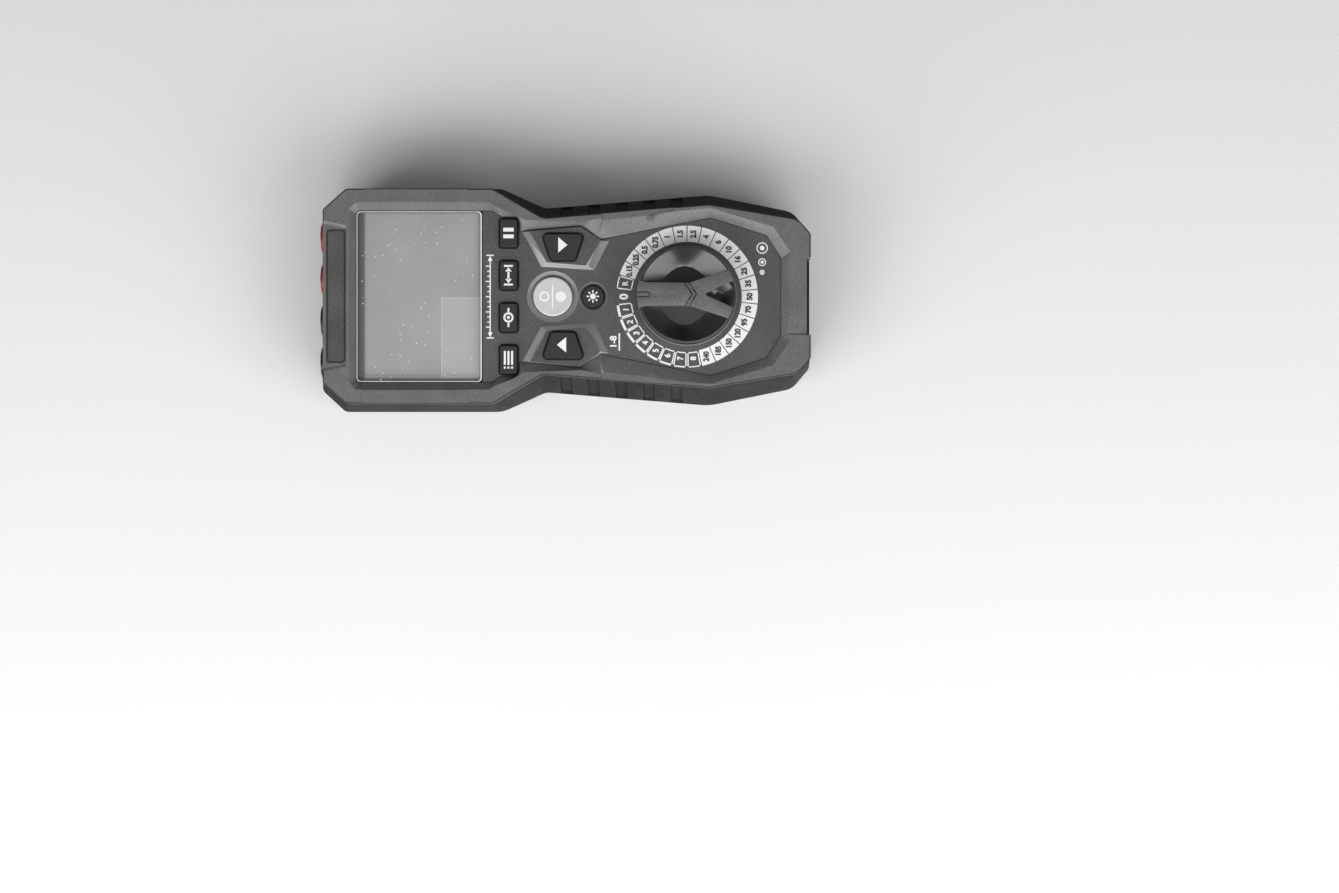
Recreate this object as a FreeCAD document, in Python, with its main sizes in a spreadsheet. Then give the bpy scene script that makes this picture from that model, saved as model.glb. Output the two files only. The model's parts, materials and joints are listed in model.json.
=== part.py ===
import FreeCAD, Part
import math
import os
import re
import Sketcher

# A hand-held cable length meter that lies on its back with its face up.
# x runs to the reader's right, y towards the display end, z out of the face. Millimetres.
# The origin is on the surface that the meter lies on, under the middle of its outline.

SIZES = [
    # Height levels; those that follow the whole height are shares of it
    ("overall_length", 200.0), ("overall_height", 50.0), ("back_level", 1.2),
    ("split_level", "0.44 * overall_height"), ("flank_top", "0.726 * overall_height"),
    ("crest_level", "0.83 * overall_height"), ("panel_level", "0.778 * overall_height"),
    ("face_plate_under", "0.702 * overall_height"), ("switch_stack", 5.5),
    ("board_level", "face_plate_under - switch_stack"),
    # Side outline at its widest level, one half of it, in shares of the length and of the widest half
    ("head_half", 45.9), ("end_half", "0.8105 * head_half"), ("shoulder_drop", "0.047 * overall_length"),
    ("head_length", "0.368 * overall_length"), ("neck_length", "0.089 * overall_length"),
    ("waist_half", "0.8235 * head_half"), ("hip_height", "0.206 * overall_length"),
    ("hip_half", "0.9434 * head_half"), ("foot_height", "0.035 * overall_length"),
    ("foot_half", "0.793 * head_half"), ("heel_half", "0.61 * head_half"),
    # How far the frame of the front housing stands in from that outline
    ("frame_end_setback", 3.2), ("frame_heel_setback", 0.4), ("head_flare", 2.6), ("end_flare", 2.2),
    ("grip_flare", 6.3), ("foot_flare", 5.3), ("heel_flare", 2.8), ("frame_head_rise", 1.9),
    ("frame_waist_drop", 0.5), ("frame_foot_rise", 1.4), ("frame_chamfer", 0.6),
    # Walls and seams; the overshoot carries a cut past the wall that it opens, the root sinks a boss in its wall
    ("rubber_wall", 2.0), ("shell_wall", 2.2), ("back_plate", 2.8), ("rim_width", 2.7),
    ("back_chamfer", 3.5), ("back_draft", 1.0), ("back_edge_level", 5.0), ("seal_width", 0.8),
    ("seal_depth", 0.7), ("end_notch_half", 15.6), ("end_notch_depth", 1.6), ("end_notch_floor", 25.0),
    ("end_wall_reach", 9.0), ("overshoot", 1.0), ("root", 0.2), ("deep_root", 0.5),
    # Grip grooves in the flanks
    ("groove_width", "0.023 * overall_length"), ("groove_depth", 0.9), ("groove_pitch", "0.0565 * overall_length"),
    ("groove_first", "0.034 * overall_length"), ("groove_reach", 9.0), ("groove_tip", 0.01),
    # Display
    ("window_setback", "0.081 * overall_length"), ("window_half", "0.756 * head_half"),
    ("window_length", "0.2555 * overall_length"), ("window_thickness", 1.6), ("window_ledge", 2.1),
    ("window_gap", 0.15), ("window_side_gap", 0.3), ("window_corner", 1.2), ("ledge_corner", 1.0),
    ("glass_thickness", 2.2), ("glass_gap", 0.4), ("glass_drop", 0.2), ("diffuser_thickness", 1.8),
    ("diffuser_gap", 0.1), ("diffuser_side_gap", 0.2), ("holder_rim", 0.6), ("holder_width", 2.8),
    ("strip_width", 1.6), ("strip_edge", 0.7), ("strip_end", 8.0), ("strip_gap", 0.1),
    # Face panel
    ("panel_thickness", 1.4), ("panel_gap", 0.25), ("panel_corner", 0.3), ("plateau_rise", 1.1),
    ("panel_shoulder_rise", 6.4), ("panel_key_rise", 3.1), ("panel_step_drop", 0.2), ("panel_arrow_run", 6.7),
    ("panel_neck_run", "0.075 * overall_length"), ("panel_hip_drop", 0.5),
    ("panel_foot_height", "0.0905 * overall_length"), ("panel_heel_height", "0.061 * overall_length"),
    ("panel_neck_half", "0.5054 * head_half"), ("panel_arrow_half", "0.6253 * head_half"),
    ("panel_step_half", "0.5795 * head_half"), ("panel_hip_half", "0.695 * head_half"),
    ("panel_foot_half", "0.5403 * head_half"), ("panel_heel_half", "0.34 * head_half"),
    # Keys
    ("key_pitch", "0.3704 * head_half"), ("key_row_drop", "0.053 * overall_length"),
    ("key_length", "0.2527 * head_half"), ("key_width", 7.3),
    ("key_corner", 1.1), ("key_gap", 0.25), ("key_rise", 1.3), ("round_key_rise", 1.0), ("key_border", 0.9),
    ("key_edge", 0.5), ("round_key_edge", 0.6), ("key_flange", 0.8), ("key_flange_thickness", 1.2),
    ("key_seat_gap", 0.2), ("plunger_radius", 1.6), ("plunger_length", 0.5),
    ("arrow_drop", "0.11 * overall_length"), ("arrow_inner", 14.4), ("arrow_outer", "0.549 * head_half"),
    ("arrow_inner_half", 4.85), ("arrow_outer_half", 8.55), ("arrow_inner_corner", 1.4),
    ("arrow_outer_corner", 1.8), ("select_drop", "0.08875 * overall_length"), ("select_radius", 7.9),
    ("select_cone", 10.3), ("light_drop", "0.17 * overall_length"), ("light_radius", 4.55),
    ("light_cone", 5.8), ("cone_depth", 0.9), ("cone_overlap", 0.2),
    # Rotary switch
    ("dial_height", "0.251 * overall_length"), ("knob_radius", 20.1), ("knob_lift", 0.2),
    ("knob_rim_height", "0.088 * overall_height"), ("pointer_height", 1.0), ("rim_bevel", 0.4),
    ("knob_shoulder", 0.9), ("knob_shoulder_drop", 0.4), ("knob_top_setback", 1.2), ("dish_rim", 1.6),
    ("dish_floor_radius", 10.0), ("dish_depth", "0.112 * overall_height"),
    ("shaft_radius", 5.9), ("shaft_gap", 0.08), ("panel_shaft_gap", 0.6), ("bar_half", 4.8),
    ("bar_corner", 1.2), ("bar_waist_drop", 1.3), ("fork_half", 9.4),
    ("fork_arm", 4.3), ("fork_setback", 3.7), ("fork_end_drop", 1.8), ("fork_root_drop", 8.2),
    ("slot_half", 1.0), ("slot_length", 5.6), ("slot_depth", 0.5), ("rotor_radius", 16.5),
    ("rotor_thickness", 2.4), ("ball_radius", 1.0), ("ball_gap", 0.05), ("detent_gap", 0.2),
    ("detent_wall", 1.6), ("wiper_gap", 0.05), ("wiper_share", 0.6), ("wiper_half_length", 6.0),
    ("wiper_half_width", 1.6), ("wiper_thickness", 0.3), ("finger_radius", 0.8), ("finger_pitch", 4.6),
    ("knob_screw_radius", 1.4), ("knob_screw_rim", 1.2), ("knob_screw_length", 7.0),
    ("knob_screw_room", 8.0), ("spring_seat", 8.0), ("coil_wall", 0.4), ("coil_step", 0.2),
    # Circuit board, its screws and what it carries
    ("board_thickness", 1.6), ("mat_thickness", 0.8), ("mat_bump", 0.3), ("mat_half", "0.6145 * head_half"),
    ("mat_low_run", 8.0), ("mat_high_run", 3.6), ("mat_corner", 2.0), ("mat_pad_rim", 1.0),
    ("board_screw_radius", 1.0), ("board_screw_gap", 0.2), ("board_screw_rim", 0.9), ("board_screw_head", 1.2),
    ("board_screw_tip_gap", 0.3), ("board_post_radius", 2.0), ("board_screw_high_half", 17.0),
    ("board_screw_half", "0.4357 * head_half"), ("board_screw_high_rise", 6.5), ("board_screw_mat_gap", 4.1),
    ("board_screw_dial_drop", 27.2), ("board_end_half", "0.6536 * head_half"), ("board_half", "0.719 * head_half"),
    ("board_neck_half", "0.5991 * head_half"), ("board_waist_half", "0.5882 * head_half"),
    ("board_hip_half", "0.6427 * head_half"), ("board_foot_half", "0.488 * head_half"),
    ("board_end_run", 1.0), ("board_edge_run", 2.0), ("board_neck_run", 8.0), ("board_hip_run", 6.0),
    ("board_foot_run", 31.0), ("board_corner", 2.0), ("part_gap", 2.7), ("buzzer_radius", 6.0),
    ("buzzer_hole", 1.2), ("buzzer_height", 4.0), ("buzzer_half", 24.0), ("buzzer_rise", 10.0),
    # Sockets at the display end
    ("jack_pitch", "0.3704 * head_half"), ("jack_bore", 2.02), ("jack_bore_length", 19.0), ("jack_mouth", 2.6),
    ("sleeve_radius", 2.9), ("sleeve_flange", 0.9), ("sleeve_flange_length", 1.2), ("collar_bore", 4.5),
    ("collar_radius", 6.2), ("collar_length", 22.0), ("collar_floor", 1.5), ("jack_gap", 0.05),
    ("block_wall", 2.4), ("block_setback", 0.6), ("block_board_gap", 0.3), ("block_corner", 1.0),
    ("strap_thickness", 0.6), ("strap_width", 3.0), ("strap_drop", 2.0),
    # Batteries and their door
    ("cell_radius", 7.2), ("cell_length", 49.3), ("cell_nub_radius", 2.7), ("cell_nub", 1.0),
    ("cell_end_gap", 0.02), ("cell_pitch", 14.8), ("cell_gap", 0.3), ("bay_end_room", 2.9), ("bay_wall", 2.2),
    ("bay_setback", 15.2), ("door_thickness", 2.0), ("door_overlap", 1.8), ("door_gap", 0.25),
    ("door_corner", 1.3), ("door_screw_radius", 1.5), ("door_head_radius", 3.0), ("door_head", 1.2),
    ("door_head_gap", 0.1), ("door_boss_radius", 3.6), ("door_boss_cap", 0.7), ("door_tip_gap", 0.3),
    ("door_slot_half", 2.2), ("door_slot_width", 0.4), ("door_slot_depth", 0.7), ("door_tab", 7.0),
    ("door_tab_half", 13.0), ("door_tab_slant", 1.5), ("door_screw_shift", 0.5), ("door_bite", 4.0),
    ("gasket_width", 1.0), ("gasket_thickness", 0.5), ("gasket_gap", 0.2), ("gasket_corner", 1.0),
    ("contact_thickness", 0.4), ("contact_half", 5.5), ("contact_rise", 5.0), ("spring_rim", 1.8),
    ("spring_taper", 0.6), ("spring_wall", 0.9),
    # Tilt stand; its length is what the battery bay leaves
    ("stand_half", 28.0), ("stand_setback", 17.5), ("stand_bay_gap", 4.1),
    ("stand_length", "overall_length - stand_setback - finger_gap - bay_setback - door_overlap"
                     " - 2 * cell_length - 2 * bay_end_room - stand_bay_gap"),
    ("stand_thickness", 3.4), ("stand_gap", 0.4), ("stand_pivot_radius", 1.6), ("stand_pivot_gap", 0.06),
    ("stand_barrel", 2.2), ("stand_pin_length", 1.7), ("pin_end_gap", 0.2), ("stand_recess_depth", 5.0),
    ("stand_recess_roof", 2.0), ("finger_gap", 7.0), ("stand_side_wall", 2.6), ("stand_end_wall", 1.0),
    ("recess_corner", 0.5), ("stand_pivot_level", 3.7), ("stand_slant_rise", 10.0), ("stand_slant_run", 7.0),
    ("stand_corner", 3.0), ("rib_width", 5.0), ("rib_first", 14.0), ("rib_setback", 6.0), ("rib_corner", 1.2),
    ("rib_depth", 0.8),
    # Case screws
    ("screw_radius", 1.2), ("screw_head_radius", 2.3), ("screw_head", 1.8), ("screw_gap", 0.05),
    ("screw_well_radius", 2.5), ("screw_well_top", 12.0), ("boss_radius", 3.0), ("rear_boss_radius", 3.6),
    ("head_screw_half", "0.7974 * head_half"), ("head_screw_setback", 24.0),
    ("foot_screw_half", "0.5664 * head_half"), ("foot_screw_height", 12.0), ("screw_tip_gap", 1.8),
    ("screw_face_gap", 1.1), ("screw_slot_half", 1.4), ("screw_slot_width", 0.3), ("screw_slot_depth", 0.8),
    # Label plate
    ("plate_setback", 4.5), ("plate_width", 8.0), ("plate_half", "0.5882 * head_half"), ("plate_depth", 0.8),
    ("plate_gap", 0.1), ("plate_sunk", 0.25), ("plate_corner", 1.2),
    ("plate_step", 0.5), ("plate_step_run", 1.2), ("plate_step_room", 0.2), ("plate_step_flare", 2.6),
    # Lowered middle of the lower end, and the lowered strips on the frame beside the hip
    ("end_step", 0.5), ("strip_step", 0.3), ("strip_start", 23.8), ("strip_turn", 3.4), ("strip_stop", 14.4),
    ("strip_start_half", "0.682 * head_half"), ("strip_turn_half", "0.646 * head_half"),
    ("strip_stop_half", "0.7516 * head_half"),
]

doc = FreeCAD.newDocument("cable_length_meter")
sheet = doc.addObject("Spreadsheet::Sheet", "sizes")
for row, (alias, size) in enumerate(SIZES, start=1):
    sheet.set(f"A{row}", alias)
    sheet.set(f"B{row}", f"={size}")
    sheet.setAlias(f"B{row}", alias)
doc.recompute()

NAMES = {alias for alias, _ in SIZES}
ORIGIN_PLANES = {"X": "YZ_Plane", "Y": "XZ_Plane", "Z": "XY_Plane"}


def bound(text):
    """Turn plain size names into references to the sheet."""
    return re.sub(r"[a-z_]+", lambda word: "sizes." + word[0] if word[0] in NAMES else word[0], str(text))


def value(text):
    """Work an expression out as a number."""
    return float(sheet.evalExpression(bound(text)))


def mirrored(half):
    """Corners of a whole outline, counter-clockwise, from its right half listed top to bottom."""
    left = [(f"-({x})", y, r) for x, y, r in half]
    return left + half[::-1]


def rectangle(left, right, low, high, radius="0"):
    """Corners of an upright rectangle, counter-clockwise."""
    return [(left, low, radius), (right, low, radius), (right, high, radius), (left, high, radius)]


def inset(corners, wall):
    """Corners of the outline that runs inside another one at an even distance."""
    points = [FreeCAD.Vector(value(x), value(y), 0) for x, y, _ in corners]
    moved = []
    for i, (x, y, r) in enumerate(corners):
        before = (points[i] - points[i - 1]).normalize()
        after = (points[(i + 1) % len(points)] - points[i]).normalize()
        inward = FreeCAD.Vector(-before.y - after.y, before.x + after.x, 0)
        shift = inward / (1 + before.dot(after))
        sign = "-" if before.cross(after).z > 0 else "+"
        radius = f"max(({r}) {sign} ({wall}); 0.3)" if value(r) else "0"
        moved.append((f"({x}) + ({wall}) * {shift.x:.6f}", f"({y}) + ({wall}) * {shift.y:.6f}", radius))
    return moved


def corner_arc(before, here, after, radius):
    """Start, end, centre and sense of the arc that rounds one corner."""
    back = (before - here).normalize()
    ahead = (after - here).normalize()
    half_angle = back.getAngle(ahead) / 2
    reach = radius / math.tan(half_angle)
    centre = here + (back + ahead).normalize() * (radius / math.sin(half_angle))
    return here + back * reach, here + ahead * reach, centre, back.cross(ahead).z < 0


def draw_outline(sketch, corners):
    """Draw a closed outline of straight runs and rounded corners, held by its corner points."""
    points = [FreeCAD.Vector(value(x), value(y), 0) for x, y, _ in corners]
    count = len(corners)
    radii = [value(r) for _, _, r in corners]
    arcs = [corner_arc(points[i - 1], points[i], points[(i + 1) % count], radii[i]) for i in range(count)]
    first = sketch.GeometryCount
    runs = [Part.LineSegment(arcs[i - 1][1], arcs[i][0]) for i in range(count)]
    sketch.addGeometry(runs, False)
    rules = []
    for i, (start, end, centre, leftward) in enumerate(arcs):
        run_in, run_out = first + i, first + (i + 1) % count
        if radii[i]:
            angles = [math.atan2((p - centre).y, (p - centre).x) for p in (start, end)]
            circle = Part.Circle(centre, FreeCAD.Vector(0, 0, 1), radii[i])
            arc = sketch.addGeometry(Part.ArcOfCircle(circle, *(angles if leftward else angles[::-1])), False)
            tip = sketch.addGeometry(Part.Point(points[i]), True)
            near, far = (1, 2) if leftward else (2, 1)
            rules += [("Tangent", run_in, 2, arc, near), ("Tangent", run_out, 1, arc, far),
                      ("PointOnObject", tip, 1, run_in), ("PointOnObject", tip, 1, run_out)]
            rules.append(("Radius", arc, corners[i][2]))
            held = (tip, 1)
        else:
            rules.append(("Coincident", run_in, 2, run_out, 1))
            held = (run_out, 1)
        rules.append(("DistanceX", -1, 1, *held, corners[i][0]))
        rules.append(("DistanceY", -1, 1, *held, corners[i][1]))
    apply_rules(sketch, rules)


def apply_rules(sketch, rules):
    """Add constraints; a rule that ends in text is a size and is bound to the sheet."""
    plain = [rule for rule in rules if not isinstance(rule[-1], str)]
    sized = [rule for rule in rules if isinstance(rule[-1], str)]
    sketch.addConstraint([Sketcher.Constraint(*rule) for rule in plain])
    at = sketch.ConstraintCount
    sketch.addConstraint([Sketcher.Constraint(*rule[:-1], value(rule[-1])) for rule in sized])
    for number, rule in enumerate(sized, start=at):
        sketch.setExpression(f"Constraints[{number}]", bound(rule[-1]))


def draw_circle(sketch, x, y, radius):
    """Draw a circle that is held by its centre and radius."""
    centre = FreeCAD.Vector(value(x), value(y), 0)
    number = sketch.addGeometry(Part.Circle(centre, FreeCAD.Vector(0, 0, 1), value(radius)), False)
    apply_rules(sketch, [("DistanceX", -1, 1, number, 3, str(x)), ("DistanceY", -1, 1, number, 3, str(y)),
                         ("Radius", number, str(radius))])


def sharp(corners):
    """The same outline with no rounding, for the hidden seams between pieces."""
    return [(x, y, "0") for x, y, _ in corners]


def ring(x, y, radius):
    """A loop that is a full circle."""
    return ("circle", x, y, radius)


def as_text(corners):
    """The same corners with every number as an expression."""
    return [tuple(str(part) for part in corner) for corner in corners]


class Piece:
    """One body of the meter, built from sketches that are bound to the sheet."""

    def __init__(self, label):
        self.body = doc.addObject("PartDesign::Body", label)
        self.body.Label = label
        self.body.AllowCompound = True
        self.step = 0

    def feature(self, kind):
        self.step += 1
        feature = self.body.newObject(kind, f"{self.body.Name}_{self.step}")
        if "Refine" in feature.PropertiesList:
            feature.Refine = False
        return feature

    def sketch(self, loops, level, axis="Z", across="0", up="0"):
        """A sketch square to an axis, at a level along it; its own origin may be shifted."""
        sketch = self.feature("Sketcher::SketchObject")
        planes = self.body.Origin.OriginFeatures
        plane = next(part for part in planes if part.Role == ORIGIN_PLANES[axis])
        sketch.AttachmentSupport = [(plane, "")]
        sketch.MapMode = "FlatFace"
        sketch.setExpression("AttachmentOffset.Base.x", bound(across))
        sketch.setExpression("AttachmentOffset.Base.y", bound(up))
        sketch.setExpression("AttachmentOffset.Base.z", bound(f"-({level})" if axis == "Y" else level))
        for loop in loops:
            if loop[0] == "circle":
                draw_circle(sketch, *loop[1:])
            else:
                draw_outline(sketch, as_text(loop))
        return sketch

    def pad(self, loops, low, high, axis="Z"):
        """Add material between two levels along an axis."""
        sketch = self.sketch(loops, high if axis == "Y" else low, axis)
        pad = self.feature("PartDesign::Pad")
        pad.Profile = sketch
        pad.setExpression("Length", bound(f"({high}) - ({low})"))
        return pad

    def pocket(self, loops, low, high, axis="Z"):
        """Cut material away between two levels along an axis."""
        sketch = self.sketch(loops, low if axis == "Y" else high, axis)
        doc.recompute()
        volume = self.body.Shape.Volume
        pocket = self.feature("PartDesign::Pocket")
        pocket.Profile = sketch
        pocket.setExpression("Length", bound(f"({high}) - ({low})"))
        doc.recompute()
        if self.body.Shape.Volume >= volume:
            raise RuntimeError(f"{pocket.Name} cut nothing")
        return pocket

    def loft(self, sections, cut=False):
        """Join outlines at several levels by straight walls, as material or as a cut."""
        sketches = [self.sketch([loop], level) for loop, level in sections]
        loft = self.feature("PartDesign::SubtractiveLoft" if cut else "PartDesign::AdditiveLoft")
        loft.Profile = sketches[0]
        loft.Sections = sketches[1:]
        loft.Ruled = True
        doc.recompute()
        return loft

    def turn(self, profile, x="0", y="0", cut=False):
        """Revolve a profile of radius and height about an upright axis."""
        sketch = self.sketch([profile], y, "Y", across=x)
        return self.revolve(sketch, "V_Axis", cut)

    def turn_along_y(self, profile, x, z):
        """Revolve a profile of distance and radius about an axis along y."""
        sketch = self.sketch([profile], x, "X", up=z)
        return self.revolve(sketch, "H_Axis", False)

    def revolve(self, sketch, axis, cut):
        revolution = self.feature("PartDesign::Groove" if cut else "PartDesign::Revolution")
        revolution.Profile = sketch
        revolution.ReferenceAxis = (sketch, [axis])
        revolution.Angle = 360
        return revolution

    def round_top(self, radius):
        """Round the edges of the highest flat face."""
        doc.recompute()
        tip = self.body.Tip
        faces = tip.Shape.Faces
        flat = [i for i, face in enumerate(faces) if face.BoundBox.ZLength < 1e-4]
        top = max(flat, key=lambda i: faces[i].BoundBox.ZMax)
        fillet = self.feature("PartDesign::Fillet")
        fillet.Base = (tip, [f"Face{top + 1}"])
        fillet.setExpression("Radius", bound(radius))
        return fillet

    def plane(self, role):
        return next(part for part in self.body.Origin.OriginFeatures if part.Role == role)


# Outlines, each a right half from the display end to the lower end
HEAD_LOW = "overall_length / 2 - head_length"
WAIST = f"{HEAD_LOW} - neck_length"
HIP = "-overall_length / 2 + hip_height"
FOOT = "-overall_length / 2 + foot_height"

SIDE = mirrored([
    ("end_half", "overall_length / 2", "3"),
    ("head_half", "overall_length / 2 - shoulder_drop", "4"),
    ("head_half", HEAD_LOW, "9"),
    ("waist_half", WAIST, "9"),
    ("hip_half", HIP, "24"),
    ("foot_half", FOOT, "8"),
    ("heel_half", "-overall_length / 2", "3.5"),
])

FRAME = mirrored([
    ("end_half - end_flare", "overall_length / 2 - frame_end_setback", "2"),
    ("head_half - head_flare", "overall_length / 2 - shoulder_drop - frame_end_setback", "2.5"),
    ("head_half - head_flare", f"{HEAD_LOW} + frame_head_rise", "5"),
    ("waist_half - grip_flare", f"{WAIST} - frame_waist_drop", "6"),
    ("hip_half - grip_flare", HIP, "8"),
    ("foot_half - foot_flare", f"{FOOT} - frame_foot_rise", "6"),
    ("heel_half - heel_flare", "-overall_length / 2 + frame_heel_setback", "2.5"),
])

SEAM = sharp(SIDE)
FRAME_SEAM = sharp(FRAME)

DISPLAY_TOP = "overall_length / 2 - window_setback"
DISPLAY_LOW = f"{DISPLAY_TOP} - window_length"
KEY_ROW = f"{DISPLAY_LOW} - key_row_drop"
KEY_ROW_OUTER = "1.5 * key_pitch + key_length / 2"
ARROW = f"{KEY_ROW} - arrow_drop"
SELECT = f"{KEY_ROW} - select_drop"
LIGHT = f"{KEY_ROW} - light_drop"
DIAL = "-overall_length / 2 + dial_height"
KNOB_TOP = "(overall_height - pointer_height)"

PANEL_HALF = [
    ("window_half", f"{KEY_ROW} + panel_shoulder_rise", "0"),
    (f"{KEY_ROW_OUTER} + key_border", f"{KEY_ROW} + panel_key_rise", "0"),
    (f"{KEY_ROW_OUTER} + key_border", f"{KEY_ROW} - key_width / 2 - key_border + panel_step_drop", "0"),
    ("panel_step_half", f"{KEY_ROW} - key_width / 2 - key_border", "0"),
    ("panel_arrow_half", f"{ARROW} - panel_arrow_run", "0"),
    ("panel_neck_half", f"{ARROW} - panel_neck_run", "0"),
    ("panel_hip_half", f"{HIP} - panel_hip_drop", "0"),
    ("panel_foot_half", "-overall_length / 2 + panel_foot_height", "0"),
    ("panel_heel_half", "-overall_length / 2 + panel_heel_height", "0"),
]
FACE_FLOOR = mirrored([
    ("window_half - window_corner", DISPLAY_TOP, "0"),
    ("window_half", f"{DISPLAY_TOP} - window_corner", "0"),
] + PANEL_HALF)

# How far each corner of the frame's inner crest stands off the floor's corner
CREST_RUN = [(1.4, 2.2), (2.9, 1.0), (2.9, 1.5), (3.6, 1.6), (1.2, 2.6), (4.0, -2.0), (1.1, -0.6),
             (8.3, -1.0), (3.5, -0.1), (3.0, -2.6), (2.2, -3.6)]
FACE_CREST = mirrored([
    (f"{x} + {run_x}", f"{y} + {run_y}", r)
    for (x, y, r), (run_x, run_y) in zip(FACE_FLOOR[len(FACE_FLOOR) // 2:][::-1], CREST_RUN)
])

FACE_BASE = "panel_level - panel_thickness"
FLANGE_TOP = "face_plate_under - key_seat_gap"
BOARD_TOP = "board_level + board_thickness"

FUNCTION_KEYS = {"memory_key": -1.5, "zero_key": -0.5, "units_key": 0.5, "hold_key": 1.5}
JACKS = {"source_black": -1.5, "sense_black": -0.5, "sense_red": 0.5, "source_red": 1.5}
CASE_SCREWS = [
    (x, y)
    for half, y in (("head_screw_half", "overall_length / 2 - head_screw_setback"),
                    ("foot_screw_half", "-overall_length / 2 + foot_screw_height"))
    for x in (half, f"-{half}")
]
BOARD_SCREWS = [
    (x, y)
    for half, y in (("board_screw_high_half", f"{KEY_ROW} + board_screw_high_rise"),
                    ("board_screw_half", f"{LIGHT} - mat_low_run - board_screw_mat_gap"),
                    ("board_screw_half", f"{DIAL} - board_screw_dial_drop"))
    for x in (half, f"-{half}")
]

# The battery bay: two rows of three cells, end to end along y
BAY_HALF = "1.5 * cell_pitch + cell_gap"
BAY_LOW = "-overall_length / 2 + bay_setback"
BAY_HIGH = f"{BAY_LOW} + 2 * cell_length + 2 * bay_end_room"
DOOR_IN = "back_level + door_thickness"
CELL_AXIS = f"{DOOR_IN} + gasket_thickness + cell_gap + cell_radius"
BAY_ROOF = f"{CELL_AXIS} + cell_radius + cell_gap"
BACK_IN = "back_level + back_plate"
DOOR_LOW = f"{BAY_LOW} - door_overlap"
DOOR = mirrored([
    (f"{BAY_HALF} + door_overlap", f"{BAY_HIGH} + door_overlap", "door_corner"),
    (f"{BAY_HALF} + door_overlap", DOOR_LOW, "door_corner"),
    ("door_tab_half", DOOR_LOW, "door_corner"),
    ("door_tab_half - door_tab_slant", f"{DOOR_LOW} - door_tab", "door_corner"),
])
DOOR_SCREW = f"{DOOR_LOW} - door_tab / 2 + door_screw_shift"

# The stand's recess in the back
PIVOT = "overall_length / 2 - stand_setback"
RECESS_HIGH = f"{PIVOT} + stand_barrel + stand_gap"
STAND_LOW = f"{PIVOT} - stand_length"
RECESS_LOW = f"{STAND_LOW} - finger_gap"
RECESS_HALF = "stand_half + stand_gap"
RECESS_ROOF = "back_level + stand_recess_depth"

JACK_LEVEL = "split_level"
COLLAR_LOW = "overall_length / 2 - collar_length"


def key_loop(place):
    """Outline of one rectangular key, counted in pitches from the middle of the row."""
    middle = f"{place} * key_pitch"
    return rectangle(f"{middle} - key_length / 2", f"{middle} + key_length / 2",
                     f"{KEY_ROW} - key_width / 2", f"{KEY_ROW} + key_width / 2", "key_corner")


def arrow_loop(side):
    """Outline of an arrow key, a trapezoid that is longest on its outer side."""
    corners = [("arrow_inner", f"{ARROW} + arrow_inner_half", "arrow_inner_corner"),
               ("arrow_inner", f"{ARROW} - arrow_inner_half", "arrow_inner_corner"),
               ("arrow_outer", f"{ARROW} - arrow_outer_half", "arrow_outer_corner"),
               ("arrow_outer", f"{ARROW} + arrow_outer_half", "arrow_outer_corner")]
    return corners if side > 0 else [(f"-({x})", y, r) for x, y, r in corners[::-1]]


ROUND_KEYS = {"metal_select_key": (SELECT, "select_radius"), "backlight_key": (LIGHT, "light_radius")}
FLAT_KEYS = {name: key_loop(place) for name, place in FUNCTION_KEYS.items()}
FLAT_KEYS["up_key"] = arrow_loop(-1)
FLAT_KEYS["down_key"] = arrow_loop(1)


def cut_key_holes(piece, low, high):
    """Cut the keys' openings, each wider than its key by the key gap."""
    loops = [inset(loop, "-key_gap") for loop in FLAT_KEYS.values()]
    loops += [ring("0", y, f"{radius} + key_gap") for y, radius in ROUND_KEYS.values()]
    piece.pocket(loops, low, high)


def cut_sockets(piece, low, high):
    """Cut the four round openings for the socket collars through an end wall."""
    loops = [ring(f"{place} * jack_pitch", JACK_LEVEL, "collar_radius + jack_gap")
             for place in JACKS.values()]
    piece.pocket(loops, low, high, axis="Y")


def cut_end_notch(piece, low, high):
    """Cut the shallow wide notch in the middle of the lower end."""
    floor = "-overall_length / 2 + frame_heel_setback + end_notch_depth"
    past = "-overall_length / 2 - overshoot"
    piece.pocket([rectangle("-end_notch_half", "end_notch_half", past, floor)], low, high)


END_WALL = ("overall_length / 2 - end_wall_reach", "overall_length / 2 + overshoot")
SCREW_TOP = "face_plate_under - screw_face_gap"
PLATE = rectangle("-plate_half", "plate_half", "overall_length / 2 - plate_setback - plate_width",
                  "overall_length / 2 - plate_setback", "plate_corner")
PLATE_TOP = "crest_level - plate_step"


def cut_frame_steps(piece):
    """Lower the frame around the label plate, at the lower end and along two strips beside the hip."""
    foot = "plate_half + plate_step_room"
    low = "overall_length / 2 - plate_setback - plate_width - plate_step_room"
    steps = [mirrored([(f"{half} + plate_step_flare", "overall_length / 2", "0"), (half, low, "0")])
             for half in (foot, f"{foot} + plate_step_run")]
    piece.loft([(steps[0], PLATE_TOP), (steps[1], "crest_level")], cut=True)
    piece.pocket([rectangle("-end_notch_half", "end_notch_half", "-overall_length / 2 - overshoot",
                            "-overall_length / 2 + panel_heel_height")], "crest_level - end_step", "crest_level")
    start, stop = f"{WAIST} - strip_start", f"{HIP} + strip_stop"
    strip = [("strip_start_half", start, "0"), ("strip_turn_half", f"{start} - strip_turn", "0"),
             ("strip_stop_half", stop, "0"), ("head_half", stop, "0"), ("head_half", start, "0")]
    other = [(f"-({x})", y, r) for x, y, r in strip[::-1]]
    piece.pocket([strip, other], "crest_level - strip_step", "crest_level")


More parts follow.
